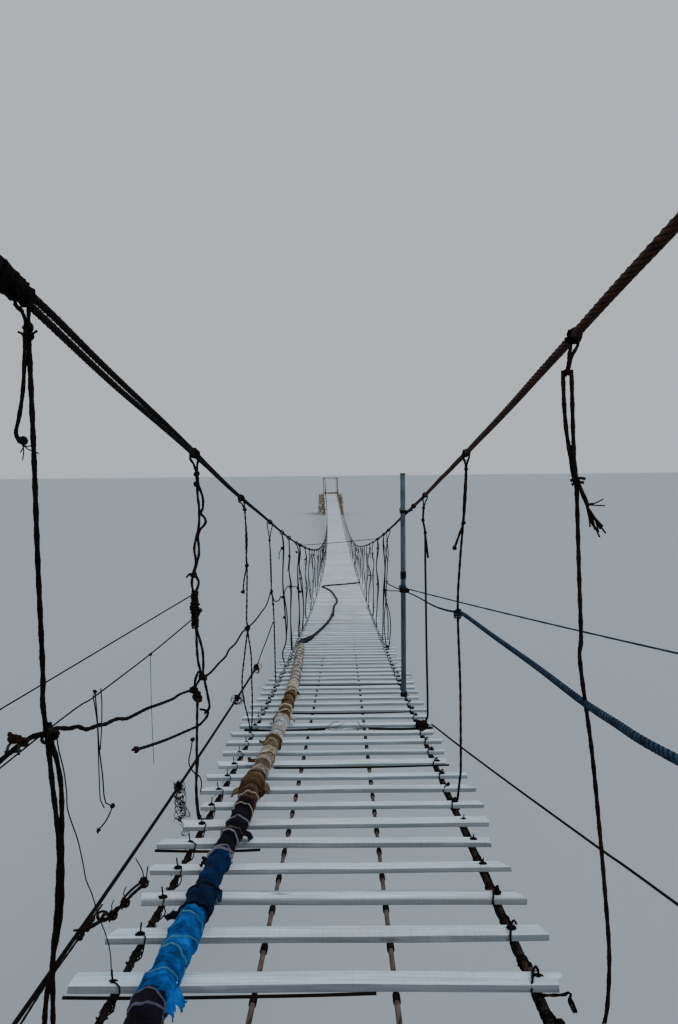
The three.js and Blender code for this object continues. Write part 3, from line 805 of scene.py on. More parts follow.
# Hand cables: two strands that close up into one on the left, one thick rope on the right
POST_Y = -0.5
SADDLE = 7.5 / 120
SADDLE_H = 1.562
LEFT_HAND = 0.0142
RIGHT_HAND = 0.01125
STRAND = 0.0085
FAR_STRAND = 0.0098
HAND_STRETCHES = (
    np.linspace(-END_REACH, 0.8, 90), np.arange(0.8, 9.0, 0.013), np.arange(9.0, SPAN + END_REACH, 0.12))


def hand_route(side, radius, ys):
    """Centre line (x, y, h) of a hand cable at the given y, with its drop to the anchor beams."""
    x, h = hand(side, ys)
    rest = SADDLE_H + radius - LEFT_HAND
    low = radius + 2 / 120
    marks = [-END_REACH, -END_REACH + 0.05, POST_Y - SADDLE, POST_Y + SADDLE, 0]
    near = np.interp(ys, marks, [low, low, rest, rest, hand(side, 0)[1]])
    far = np.interp(SPAN - ys, marks, [low, low, rest, rest, hand(side, SPAN)[1]])
    return np.column_stack((x, ys, np.where(ys < 0, near, np.where(ys > SPAN, far, h))))


def left_strand(piece, ys, way, lobes, sides):
    """One of the left cable's two strands, which lie side by side near the eye."""
    wide = np.interp(ys, [0.2, 1.0, 1.4, 1.6, 2.0, 2.5, 3.0, 3.3],
                     [0.0175, 0.018, 0.019, 0.023, 0.024, 0.021, 0.015, 0.007])
    turn = np.interp(ys, [0.2, 1.0, 3.0], [0.0, 1.45, 1.75]) + np.clip(ys - 3, 0, None) * 0.15
    line = hand_route(-1, LEFT_HAND, ys)
    line[:, 0] += way * 0.5 * wide * np.cos(turn)
    line[:, 2] += way * 0.5 * wide * np.sin(turn)
    thick = np.interp(ys, [2.6, 3.4], [STRAND, FAR_STRAND])
    tube(piece, place(line), thick * S, sides, lobes, 0.15, 0.11 * S, (0.7, 0.66, 0.68))


left_hand = Piece("left_hand_rope", "dark_wire", replaces=("left_hand_cable",), raised="over_deck")
for ys, lobes, sides in zip(HAND_STRETCHES, (0, 5, 0), (8, 15, 7)):
    for way in (-1, 1):
        left_strand(left_hand, ys, way, lobes, sides)
left_hand.build()
right_hand = Piece("right_hand_rope", "rusty_wire", replaces=("right_hand_cable",), raised="over_deck")
for ys, lobes, sides in zip(HAND_STRETCHES, (0, 6, 0), (10, 18, 8)):
    line = hand_route(1, RIGHT_HAND, ys)
    line[:, 0] += 0.0012 * waves(ys, 61, (2.2, 4.7, 10))
    line[:, 2] += 0.0012 * waves(ys, 62, (2.7, 5.2, 12))
    tube(right_hand, place(line), 0.0108 * S, sides, lobes, 0.16, 0.17 * S, (0.9, 0.72, 0.66))
right_hand.build()


# Hangers
HANGER_PITCH = 1.5
LAST_HANGER = 73.7
DETAILED_TO = 16
KNOTTED_TO = 34
MEASURED = 4
FOOT = 62.3 / 120
DARK = (0.62, 0.60, 0.62)
BLACKISH = (0.42, 0.40, 0.42)
BROWN = (0.85, 0.74, 0.76)


def hanger_places(first):
    """The measured places and the ones beyond them, each in a gap between two planks."""
    out, y = list(first), first[-1] + HANGER_PITCH
    while y < LAST_HANGER:
        out.append(FIRST_PLANK + (math.floor((y - FIRST_PLANK) / PITCH) + 0.5) * PITCH)
        y += HANGER_PITCH
    return out


HANGERS = {-1: hanger_places([1.43, 2.99, 4.6, 6.35, 7.48, 8.37, 9.66, 10.38]),
           1: hanger_places([1.625, 3.2, 4.8, 8.34, 9.22, 10.83])}
hand_lines = {side: hand_route(side, r, np.arange(-0.6, SPAN + 0.6, 0.02))
              for side, r in ((-1, LEFT_HAND), (1, RIGHT_HAND))}
hand_paths = {side: place(line) for side, line in hand_lines.items()}
hand_runs = {side: run_of(path) for side, path in hand_paths.items()}


def wrap_hand(piece, side, y, long, out, thin, turns, seed, tint):
    """Wire wound round a hand cable, centred at y."""
    at = float(np.interp(y, hand_lines[side][:, 1], hand_runs[side]))
    coil(piece, hand_paths[side], at - 0.5 * long * S, long * S, out * S, thin * S, turns, tint, 6, seed)


def at_y(y, pairs):
    return [(x, y, h) for x, h in pairs]


def strands(piece, y, tint, routes, step=0.0075, sides=8, lobes=2, depth=0.2, turn=0.09):
    """Wires that hang at y; each route has its shift along the bridge, its radius and its marks (x, h)."""
    for shift, radius, marks in routes:
        wire(piece, at_y(y + shift, marks), radius, step, sides, lobes, depth, turn, tint)


def line_of(side, y, h, shift=0.0):
    """A point on the straight line of the hanger at y."""
    x, top = hand(side, y)
    foot = side * FOOT
    return foot + (x - foot) * h / top + shift, y, h


def foot_wraps(piece, side, y, seed, near, tint):
    """Bindings that hold a hanger's foot to the deck cable."""
    base = place(cable_stretch(y - 0.07, y + 0.07, side * 0.506, 0.0, 0.01))
    wide = 0.0205 if side > 0 else 0.019
    coil(piece, base, 0.04 * S, 0.05 * S, wide * S, 0.0030 * S, 3.5 if near else 2.5, tint,
        6 if near else 4, seed)
    knot(piece, (side * FOOT, y, 0.006), 0.017, 0.0045, seed, tint, 4 if near else 2)


def far_hanger(piece, side, y, number, tint):
    """A bent wire from the hand cable; up to the middle it has a second wire, knots and a loose end."""
    r = np.random.default_rng(6000 + number * 2 + (side > 0))
    top_h = hand(side, y)[1]
    detail, knotted = y < DETAILED_TO, y < KNOTTED_TO
    sides, step = (6, 0.03) if detail else (4, 0.09)
    thick = (0.0072 if knotted else 0.0062) * r.uniform(0.88, 1.12)
    low_knot, high_knot = r.uniform(0.3, 0.62) * top_h, top_h - r.uniform(0.07, 0.2)
    bend = 0.012 if knotted else 0.006
    heights = [top_h - 0.012, high_knot, 0.5 * (high_knot + low_knot), low_knot, 0.5 * low_knot, 0.1, -0.012]
    first = [line_of(side, y + 0.3 * bend * r.normal(), h, bend * r.normal() * (0 < i < 6))
             for i, h in enumerate(heights)]
    wire(piece, first, thick, step, sides, tint=tint)
    if not knotted:
        wrap_hand(piece, side, y, 0.04, 0.0195 if side < 0 else 0.0138, 0.0045, 1.5, number, tint)
        foot_wraps(piece, side, y, number, False, tint)
        return
    split = r.uniform(0.008, 0.02)
    second = [(a + (split * r.uniform(0.3, 1.4) if i % 2 else 0), b + 0.004, h)
              for i, (a, b, h) in enumerate(first)]
    keep = second[:5] if r.uniform() < 0.3 else second[1:] if r.uniform() < 0.4 else second
    wire(piece, keep, 0.85 * thick, step, sides, tint=tint)
    for h in (high_knot, low_knot):
        knot(piece, line_of(side, y, h), 0.024, 0.0062, int(number * 10 + h * 7), tint, 4 if detail else 2)
    wrap_hand(piece, side, y, 0.045, 0.0195 if side < 0 else 0.0142, 0.0036, 3, number, tint)
    if r.uniform() < 0.6:
        x, _, h = line_of(side, y, high_knot)
        end = [(x, y, h), (x + r.normal() * 0.02, y - 0.02, h - 0.05),
               (x + r.normal() * 0.035, y - 0.03, h - r.uniform(0.1, 0.2))]
        wire(piece, end, 0.6 * thick, step, sides, tint=tint)
    foot_wraps(piece, side, y, number, detail, tint)


def knots(piece, y, marks, tint, thin=0.0048, size=0.02):
    """Small wire ties: a few turns round the strands and a short end to each side."""
    reach = 0.55 * size
    for i, (x, h) in enumerate(marks):
        knot(piece, (x, y, h), size, thin, int(y * 100) + i, tint, 3)
        post = np.linspace(*place([(x, y, h - 0.008), (x, y, h + 0.008)]), 12)
        coil(piece, post, 0.002 * S, 0.012 * S, 0.42 * size * S, 0.5 * thin * S, 2.5, tint, 5, i)
        ends = [(x - reach, y - 0.004, h + 0.003 * math.sin(i)), (x, y - 0.007, h),
            (x + reach, y - 0.004, h - 0.004)]
        wire(piece, ends, 0.45 * thin, 0.01, 5, tint=tint)


def slings(piece, side, y, spread, knot_at, tint, thin, wrap=0.05):
    """Two legs from the hand cable down to a knot at (x, h), with their wraps."""
    x, top_h = hand(side, y)
    knot_x, knot_h = knot_at
    for way in (-1, 1):
        out = way * spread
        leg = [(x + way * 0.01, y + out * 0.3, top_h + 0.012), (x + out, y, top_h - 0.02),
               (0.5 * (x + knot_x) + out * 0.5, y, 0.5 * (top_h + knot_h)), (knot_x, y, knot_h)]
        wire(piece, leg, thin, 0.01, 8, 2, 0.25, 0.06, tint)
    wrap_hand(piece, side, y, wrap, 0.0165 if side < 0 else 0.0135, 0.0034, 70 * wrap, int(y * 10), tint)


def strand_clamp(piece):
    """The thick winding that holds the left hand cable's two strands together at the first hanger."""
    path, run, line = hand_paths[-1], hand_runs[-1], hand_lines[-1]
    for a, b, out, thin, turns in (
            (1.18, 1.42, 0.0175, 0.005, 12), (1.21, 1.39, 0.0197, 0.005, 8), (1.24, 1.36, 0.0217, 0.0046, 5)):
        start, end = (float(np.interp(v, line[:, 1], run)) for v in (a, b))
        coil(piece, path, start, end - start, out * S, thin * S, turns, BLACKISH, 8, turns)
    for i in range(9):
        y = 1.2 + 0.023 * i
        x, h = hand(-1, y)
        at = (x + 0.012 * math.cos(i * 2.1), y, h + 0.012 * math.sin(i * 2.1))
        knot(piece, at, 0.02, 0.0056, 60 + i, BLACKISH, 4)
    x, h = hand(-1, 1.37)
    knot(piece, (x + 0.004, 1.37, h - 0.022), 0.018, 0.005, 75, BLACKISH, 5)


def left_first(piece):
    y = 1.43
    slings(piece, -1, y, 0.013, (-0.511, 1.425), BLACKISH, 0.0048)
    strands(piece, y, BLACKISH, (
        (0, 0.0056, (
            (-0.511, 1.425), (-0.508, 1.2), (-0.507, 1.004), (-0.504, 0.80), (-0.506, 0.744),
            (-0.503, 0.705), (-0.5, 0.674), (-0.497, 0.643), (-0.493, 0.588), (-0.488, 0.532),
            (-0.485, 0.493), (-0.484, 0.445), (-0.488, 0.39), (-0.492, 0.334), (-0.499, 0.278),
            (-0.504, 0.23), (-0.515, 0.189), (-0.522, 0.121), (-0.521, -0.01))),
        (0.006, 0.0054, (
            (-0.497, 0.70), (-0.493, 0.66), (-0.485, 0.627), (-0.479, 0.58), (-0.479, 0.524),
            (-0.481, 0.469), (-0.482, 0.41), (-0.485, 0.35), (-0.492, 0.302), (-0.503, 0.25),
            (-0.506, 0.189), (-0.508, 0.121), (-0.513, -0.01))),
        (-0.008, 0.0044, (
            (-0.513, 1.42), (-0.52, 1.32), (-0.529, 1.265), (-0.536, 1.235), (-0.528, 1.218)))))
    knot(piece, (-0.528, y, 1.222), 0.012, 0.0042, 11, BLACKISH, 4)
    fray(piece, (-0.528, y, 1.215), (0.6, 0, -0.5), 0.025, 4, 12, 0.0012, 0.3, BLACKISH)
    knots(piece, y, [(-0.511, 1.425), (-0.513, 1.41)], BLACKISH, 0.0044, 0.016)
    wire(piece, at_y(y, [(-0.53, 1.418), (-0.51, 1.412), (-0.495, 1.42)]), 0.0024, 0.01, tint=BLACKISH)
    # Middle rope's small tie round the hanger
    for i, tint in enumerate((BLACKISH, DARK)):
        at = (-0.499 + 0.002 * math.sin(i * 2.4), y + 0.003 * math.cos(i * 1.9), 0.681 - 0.0075 * i)
        ring(piece, place([at])[0], 0.0105 * S, 0.0036 * S, 40 + i, tint, 7)
    strand_clamp(piece)
    foot_wraps(piece, -1, y, 1, True, BLACKISH)


def left_second(piece):
    y = 2.99
    slings(piece, -1, y, 0.016, (-0.507, 1.345), DARK, 0.0062)
    knots(piece, y, [(-0.507, 1.341), (-0.507, 1.3)], DARK, 0.006, 0.018)
    strands(piece, y, DARK, (
        (0, 0.0058, (
            (-0.507, 1.345), (-0.506, 1.3), (-0.504, 1.25), (-0.5, 1.211), (-0.5025, 1.142), (-0.521, 1.06),
            (-0.516, 1.006), (-0.5266, 0.961), (-0.5335, 0.923), (-0.528, 0.885))),
        (0.01, 0.0058, (
            (-0.506, 1.345), (-0.502, 1.3), (-0.487, 1.252), (-0.488, 1.21), (-0.496, 1.192),
            (-0.48, 1.172), (-0.478, 1.155), (-0.4865, 1.142), (-0.5, 1.128), (-0.508, 1.10),
            (-0.506, 1.034), (-0.523, 0.965), (-0.5095, 0.93), (-0.513, 0.906), (-0.524, 0.885))),
        (0, 0.0058, (
            (-0.525, 0.89), (-0.523, 0.82), (-0.522, 0.76), (-0.52, 0.745), (-0.5195, 0.7),
            (-0.5185, 0.657), (-0.514, 0.609), (-0.502, 0.561), (-0.513, 0.578), (-0.527, 0.547),
            (-0.531, 0.513), (-0.531, 0.485), (-0.522, 0.472))),
        (0.009, 0.0058, (
            (-0.523, 0.89), (-0.522, 0.76), (-0.5095, 0.704), (-0.499, 0.657), (-0.497, 0.609),
            (-0.499, 0.561), (-0.495, 0.547), (-0.482, 0.479), (-0.477, 0.434), (-0.496, 0.41))),
        (-0.004, 0.0058, ((-0.52, 0.47), (-0.524, 0.36), (-0.528, 0.22), (-0.532, 0.1), (-0.519, -0.01))),
        (0.006, 0.0058, ((-0.524, 0.24), (-0.533, 0.15), (-0.529, 0.07), (-0.519, -0.01)))))
    knots(piece, y, [(-0.5266, 0.954), (-0.499, 0.561), (-0.502, 0.552), (-0.537, 0.506), (-0.535, 0.5)],
          DARK, 0.0062, 0.02)
    wire(piece, at_y(y, [(-0.528, 0.954), (-0.542, 0.957), (-0.554, 0.944)]), 0.0058, 0.01, 8, 2, 0.4, 0.05,
        DARK)
    post = np.linspace(*place(at_y(y, [(-0.524, 0.9), (-0.524, 0.74)])), 40)
    coil(piece, post, 0.012 * S, 0.14 * S, 0.0115 * S, 0.0042 * S, 17, DARK, 6, 2)
    coil(piece, post, 0.05 * S, 0.05 * S, 0.0145 * S, 0.0052 * S, 4, DARK, 6, 5)
    knots(piece, y, [(-0.505, 0.815), (-0.51, 0.812), (-0.535, 0.83)], DARK, 0.005, 0.014)
    for i in range(3):
        ring(piece, place([(-0.52, y - 0.006, 0.482 - 0.004 * i)])[0], 0.016 * S, 0.0052 * S, 20 + i, DARK, 7)
    knots(piece, y, [(-0.543, 0.31)], DARK, 0.0045, 0.013)
    wire(piece, [(-0.543, y, 0.312), (-0.547, y - 0.02, 0.27), (-0.553, y - 0.03, 0.235),
        (-0.549, y - 0.02, 0.21), (-0.534, y - 0.01, 0.188), (-0.519, y, 0.176), (-0.513, y + 0.01, 0.15),
        (-0.516, y, 0.12)], 0.0026, 0.01, tint=DARK)
    foot_wraps(piece, -1, y, 2, True, DARK)


def left_third(piece):
    y = 4.6
    slings(piece, -1, y, 0.015, (-0.53, 1.31), DARK, 0.0056)
    strands(piece, y, DARK, (
        (0, 0.006, (
            (-0.53, 1.31), (-0.5249, 1.2), (-0.5262, 1.1294), (-0.5239, 1.0108), (-0.5212, 0.9929),
            (-0.5259, 0.7725), (-0.5296, 0.6529), (-0.5215, 0.6079))),
        (0, 0.006, (
            (-0.524, 1.22), (-0.519, 1.12), (-0.526, 1.02), (-0.5244, 0.9751), (-0.5406, 0.892),
            (-0.5477, 0.8205))),
        (0, 0.006, (
            (-0.5215, 0.6079), (-0.5261, 0.5809), (-0.5449, 0.4429), (-0.5623, 0.2924), (-0.555, 0.1895),
            (-0.5243, 0.0617), (-0.519, -0.01))),
        (0, 0.006, (
            (-0.5215, 0.6079), (-0.521, 0.5629), (-0.5063, 0.4425), (-0.505, 0.2977), (-0.5039, 0.1403),
            (-0.513, -0.01)))), 0.015, depth=0.35, turn=0.07)
    knots(piece, y, [(-0.53, 1.31), (-0.5235, 0.978), (-0.5215, 0.6079), (-0.522, 0.598), (-0.5477, 0.822)],
          DARK, 0.006, 0.02)
    foot_wraps(piece, -1, y, 3, True, DARK)


def left_fourth(piece):
    y = 6.35
    slings(piece, -1, y, 0.022, (-0.552, 1.16), DARK, 0.0052)
    strands(piece, y, DARK, (
        (0, 0.006, ((-0.552, 1.16), (-0.5484, 1.002), (-0.5455, 0.8047), (-0.5422, 0.7471))),
        (0, 0.0045, ((-0.552, 1.16), (-0.544, 1.02), (-0.541, 0.87), (-0.5422, 0.7471))),
        (0, 0.0075, (
            (-0.5422, 0.7471), (-0.5315, 0.6397), (-0.5255, 0.4909), (-0.5222, 0.2587), (-0.5202, 0.0506),
            (-0.519, -0.01)))), 0.02, depth=0.35, turn=0.07)
    knots(piece, y, [(-0.552, 1.16), (-0.5422, 0.7471), (-0.5315, 0.6397)], DARK, 0.0058, 0.019)
    foot_wraps(piece, -1, y, 4, True, DARK)


def right_first(piece):
    y = 1.625
    slings(piece, 1, y, 0.007, (0.5205, 1.384), BROWN, 0.0046, 0.028)
    strands(piece, y, BROWN, (
        (0, 0.0052, (
            (0.5285, 1.39), (0.5305, 1.33), (0.5325, 1.27), (0.534, 1.234), (0.536, 1.2), (0.5405, 1.158))),
        (0.006, 0.0052, (
            (0.5125, 1.39), (0.5155, 1.32), (0.5205, 1.265), (0.5255, 1.234), (0.531, 1.2),
            (0.5385, 1.158))),
        (0, 0.0052, (
            (0.5405, 1.16), (0.5475, 0.963), (0.5525, 0.83), (0.551, 0.775), (0.577, 0.587), (0.597, 0.395),
            (0.6095, 0.26), (0.6185, 0.15), (0.615, 0.05), (0.602, -0.012), (0.592, -0.034),
            (0.519, -0.016))),
        (-0.006, 0.0052, ((0.545, 1.15), (0.551, 1.134), (0.558, 1.119), (0.563, 1.105)))))
    knots(piece, y, [(0.5205, 1.384), (0.541, 1.158), (0.543, 1.151)], BROWN, 0.0044, 0.012)
    for x0, x1, h in ((0.528, 0.559, 1.16), (0.531, 0.556, 1.152)):
        wire(piece, at_y(y, [(x0, h), (0.5 * (x0 + x1), h + 0.006), (x1, h + 0.004)]), 0.0035, 0.01,
            tint=BROWN)
    fray(piece, (0.562, y, 1.108), (0.45, 0, -0.9), 0.062, 13, 31, 0.0019, 0.14, BROWN)
    fray(piece, (0.561, y, 1.11), (1, 0, 0.05), 0.04, 4, 33, 0.0014, 0.25, BROWN)
    foot_wraps(piece, 1, y, 1, True, DARK)


def right_second(piece):
    y, foot = 3.12, 0.08
    slings(piece, 1, y, 0.012, (0.544, 1.3652), BROWN, 0.0056, 0.02)
    strands(piece, y, DARK, (
        (0, 0.0056, (
            (0.544, 1.3652), (0.5358, 1.2413), (0.5317, 1.1491), (0.5195, 1.0), (0.5095, 0.8015),
            (0.519, 0.5), (0.521, 0.26), (0.521, 0.15))),
        (0, 0.0056, ((0.545, 1.36), (0.541, 1.25), (0.5317, 1.1491), (0.5156, 1.101), (0.4974, 1.0488)))))
    knots(piece, y, [(0.544, 1.3652), (0.5317, 1.1491), (0.4974, 1.0488)], DARK, 0.005, 0.014)
    twisted(piece, [(0.521, y, 0.15), (0.521, y + 0.045, 0.09), (0.52, y + foot, 0.03),
        (0.519, y + foot, -0.01)], 0.0056, DARK)
    foot_wraps(piece, 1, y + foot, 2, True, DARK)


def right_third(piece):
    y = 4.8
    slings(piece, 1, y, 0.014, (0.546, 1.3204), DARK, 0.0056)
    strands(piece, y, DARK, (
        (0, 0.0066, (
            (0.546, 1.3204), (0.542, 1.2464), (0.554, 1.1659), (0.5547, 0.9984), (0.5574, 0.7491),
            (0.5606, 0.4356), (0.5658, 0.1198), (0.56, 0.03), (0.519, -0.01))),
        (0, 0.0066, ((0.554, 1.1659), (0.563, 1.0914), (0.572, 1.0106)))), 0.015, lobes=0, turn=None)
    knots(piece, y, [(0.546, 1.3204), (0.542, 1.2464), (0.554, 1.1659)], DARK, 0.0052, 0.017)
    foot_wraps(piece, 1, y, 3, True, DARK)


def right_fourth(piece):
    y = 8.34
    slings(piece, 1, y, 0.02, (0.52, 1.17), DARK, 0.0055)
    strands(piece, y, DARK, (
        (0, 0.0058, (
            (0.52, 1.17), (0.505, 1.0), (0.495, 0.8), (0.493, 0.646), (0.503, 0.538), (0.535, 0.42),
            (0.552, 0.27), (0.54, 0.12), (0.521, -0.006))),
        (0, 0.0058, (
            (0.52, 1.17), (0.53, 1.05), (0.522, 0.9), (0.512, 0.75), (0.503, 0.538), (0.49, 0.42),
            (0.482, 0.27), (0.495, 0.12), (0.519, -0.006))),
        (0, 0.0058, ((0.503, 0.538), (0.515, 0.42), (0.525, 0.3), (0.52, 0.12)))), 0.03, 6, 0, turn=None)
    knots(piece, y, [(0.52, 1.17), (0.494, 0.646), (0.503, 0.538), (0.518, 0.06), (0.53, 0.03)], DARK,
        0.0056, 0.02)
    foot_wraps(piece, 1, y, 4, True, DARK)


NEAR_HANGERS = {-1: (left_first, left_second, left_third, left_fourth),
                1: (right_first, right_second, right_third, right_fourth)}
for side, word, slot, seam_x in ((-1, "left", "dark_wire", 0.5085), (1, "right", "rusty_wire", 0.510)):
    places = HANGERS[side]
    share = math.ceil(len(places) / 4)
    for part in range(4):
        group = list(enumerate(places))[part * share:(part + 1) * share]
        hung = Piece(f"{word}_hanger_wires_{part + 1}", slot, "dark_wire", (f"{word}_hangers_{part + 1}",),
            "over_deck")
        seam = np.arange(group[0][1] - 0.025, group[-1][1] + 0.025, 0.1)
        binding = np.column_stack((side * seam_x + 0 * seam, seam, -0.001 + 0 * seam))
        tube(hung, place(binding), 0.0034 * S, 5, tint=DARK)
        if part == 0:
            for near_hanger in NEAR_HANGERS[side]:
                near_hanger(hung)
        for i, y in group:
            if i >= MEASURED:
                far_hanger(hung, side, y, i, DARK)
        hung.build()


# Middle hand ropes
MID_ROPE = ((-0.59, -0.392, 0.78), (-0.575, 0.2, 0.71), (-0.55, 0.8, 0.655), (-0.538, 1.2, 0.648),
    (-0.529, 1.3, 0.663), (-0.515, 1.37, 0.681), (-0.506, 1.414, 0.683), (-0.506, 1.45, 0.676),
    (-0.509, 1.501, 0.675), (-0.51, 1.576, 0.659), (-0.511, 1.627, 0.652), (-0.512, 1.684, 0.634),
    (-0.514, 1.769, 0.625), (-0.515, 1.825, 0.616), (-0.517, 1.881, 0.612), (-0.518, 1.938, 0.606),
    (-0.519, 2.014, 0.591), (-0.522, 2.107, 0.583), (-0.528, 2.263, 0.571), (-0.532, 2.434, 0.553),
    (-0.537, 2.638, 0.533), (-0.555, 2.839, 0.515), (-0.542, 2.98, 0.507), (-0.527, 3.0, 0.52),
    (-0.512, 3.0, 0.545), (-0.507, 3.149, 0.541), (-0.501, 3.231, 0.547), (-0.504, 3.412, 0.554),
    (-0.504, 3.598, 0.559), (-0.514, 3.794, 0.571), (-0.515, 4.025, 0.577), (-0.53, 4.393, 0.597),
    (-0.529, 4.6, 0.602), (-0.524, 4.97, 0.616), (-0.525, 5.361, 0.642), (-0.527, 5.75, 0.669),
    (-0.546, 6.35, 0.73), (-0.535, 6.52, 0.655), (-0.51, 6.7, 0.65), (-0.53, 7.1, 0.66),
    (-0.539, 7.48, 0.632), (-0.534, 8.0, 0.71), (-0.52, 8.37, 0.69), (-0.503, 9.2, 0.646),
    (-0.49, 9.66, 0.563))
MID_KNOTS = ((-0.533, 2.99, 0.506), (-0.498, 2.99, 0.553), (-0.528, 4.6, 0.602), (-0.546, 6.35, 0.73),
    (-0.539, 7.48, 0.632), (-0.52, 8.37, 0.69), (-0.49, 9.66, 0.563))
LOOSE_END = ((-0.481, 3.0, 0.418), (-0.486, 2.995, 0.4), (-0.5, 2.985, 0.382), (-0.521, 2.97, 0.366),
    (-0.549, 2.85, 0.369), (-0.569, 2.7, 0.38), (-0.578, 2.5, 0.406), (-0.585, 2.35, 0.428))
PALE_KNOT = (0.7, 0.6, 0.55)


def around(at, i, x_reach, h_reach, rates):
    """A spot near a point (x, y, h), its own for each number."""
    return at[0] + x_reach * math.sin(i * rates[0]), at[1], at[2] + h_reach * math.cos(i * rates[1])


mid = Piece("left_middle_rope", "dark_wire", replaces=("left_mid_rope",), raised="over_deck")
wire(mid, MID_ROPE, 0.0054, 0.012, 8, 2, 0.2, 0.1, (0.24, 0.24, 0.27))
for at in MID_KNOTS:
    knot(mid, at, 0.024, 0.0062, int(at[1] * 31), DARK, 5)
twisted(mid, LOOSE_END, 0.0056, DARK)
twisted(mid, [(-0.514, 2.995, 0.428), (-0.5, 3.0, 0.425), (-0.481, 3.0, 0.418)], 0.005, DARK)
knot(mid, (-0.585, 2.345, 0.429), 0.015, 0.0058, 171, DARK, 4)
for (x, y, h), size, tint in (((-0.4862, 1.42, 0.6835), 0.016, (0.9, 0.75, 0.65)),
        ((-0.4905, 1.26, 0.712), 0.012, PALE_KNOT), ((-0.4875, 1.29, 0.70), 0.012, PALE_KNOT)):
    for i in range(2):
        knot(mid, (x + 0.003 * i, y, h - 0.003 * i), size, 0.0048, 180 + i, tint, 3)
mid.build()

# Small shackle on the rope at the left edge
SHACKLE_TINT = (0.2, 0.21, 0.25)
shackle = Piece("rope_shackle", "dark_wire", "steel", raised="over_deck")
bow = [(-0.524 + 0.0098 * math.cos(a), 1.34 + 0.008 * math.sin(a), 0.675 + 0.0102 * math.sin(a))
       for a in np.linspace(-0.7, 3.7, 12)]
wire(shackle, bow, 0.0026, 0.006, 8, tint=SHACKLE_TINT)
wire(shackle, [(-0.537, 1.335, 0.6675), (-0.512, 1.345, 0.669)], 0.0026, 0.01, 8, tint=SHACKLE_TINT)
for x in (-0.537, -0.514):
    wire(shackle, [(x, 1.335, 0.6677), (x + 0.003, 1.336, 0.668)], 0.0044, 0.004, tint=SHACKLE_TINT)
shackle.build()

# Blue rope from the near end to the second right hanger, and its thin tail to the pole
POLE_X, POLE_Y = 0.4765, plank_y(24)
BLUE_ROPE = (
    (0.59, -0.392, 0.77), (0.572, 0.1, 0.73), (0.556, 0.6, 0.708), (0.54, 1.16, 0.696), (0.553, 1.42, 0.69),
    (0.562, 1.66, 0.69), (0.56, 2.05, 0.713), (0.548, 2.6, 0.745), (0.525, 3.06, 0.783), (0.512, 3.15, 0.787))
BLUE_TAIL = (
    (0.512, 3.15, 0.787), (0.53, 3.6, 0.765), (0.555, 4.2, 0.742), (0.575, 4.8, 0.729), (0.545, 5.25, 0.747),
    (POLE_X + 0.0266, POLE_Y, 0.764))
blue = Piece("right_blue_rope", "blue_rope", replaces=("right_mid_rope",), raised="over_deck")
wire(blue, BLUE_ROPE, 0.0084, 0.010, 16, 4, 0.06, 0.075)
wire(blue, BLUE_TAIL, 0.0055, 0.02, 8, 3, 0.12, 0.09, (0.8, 0.8, 0.8))
for i in range(4):
    ring(blue, place([(0.511, 3.13, 0.79 - 0.005 * i)])[0], 0.013 * S, 0.0045 * S, 40 + i, (0.8, 0.8, 0.9), 8)
blue.build()


# Stays and guys
STAY_TINT = (0.34, 0.34, 0.36)
RUSTY = (1.1, 0.85, 0.72)
STAY_TIES = ((-0.6908, 6.5, 0.0973), (-0.7509, 5.72, -0.0207), (-0.8676, 4.22, -0.2349))
LEFT_STAY = [*STAY_TIES, (-0.9501, 3.195, -0.3748), (-1.0043, 2.553, -0.4595)]
UPPER_GUY = [(-0.5093, 2.99, 0.8901), (-0.6002, 2.9, 0.8304), (-0.7782, 2.633, 0.7066),
    (-0.9833, 2.319, 0.5633)]
LOWER_GUY = [(-0.509, 2.99, 0.8033), (-0.5606, 2.93, 0.7548), (-0.6376, 2.746, 0.6763),
    (-0.7404, 2.48, 0.5799), (-0.8888, 2.097, 0.4427)]
RIGHT_STAY = [(0.53, 4.8, -0.008), (0.587, 4.74, -0.025), (0.688, 4.262, -0.044), (0.847, 3.652, -0.086),
              (1.033, 2.935, -0.129), (1.148, 2.497, -0.155)]


def anchored(piece, points, x, drop, radius, tint=DARK):
    """A wire from points to an eye bolt in the near wall's face at x, that far below the deck."""
    wire(piece, points + [(x, 0.02, -drop)], radius, 0.05, 8, tint=tint)
    ring(piece, place([(x, 0.035, -drop)])[0], 0.028 * S, 0.008 * S, int(abs(x) * 100), tint, 8)
    tube(piece, place([(x, 0.004, -drop), (x, 0.03, -drop)]), 0.012 * S, 8, tint=tint)
    for i in range(3):
        knot(piece, (x, 0.07 + 0.02 * i, -drop + 0.01 * i), 0.026, 0.006, i + 3, tint, 3)


def springy_wire(piece, x, h, seed):
    """A curled wire that hangs from the left stay."""
    a = np.linspace(0, 9 * math.pi, 90)
    t = a / a[-1]
    curl = np.sin(a + seed)
    points = (x + 0.012 * np.cos(a + seed) * (1 + 0.5 * t) + 0.02 * t * (seed - 0.5),
              4.12 + 0.012 * np.sin(a), h - 0.16 * t + 0.012 * curl)
    wire(piece, np.column_stack(points), 0.0019, 0.006, 4, tint=RUSTY)


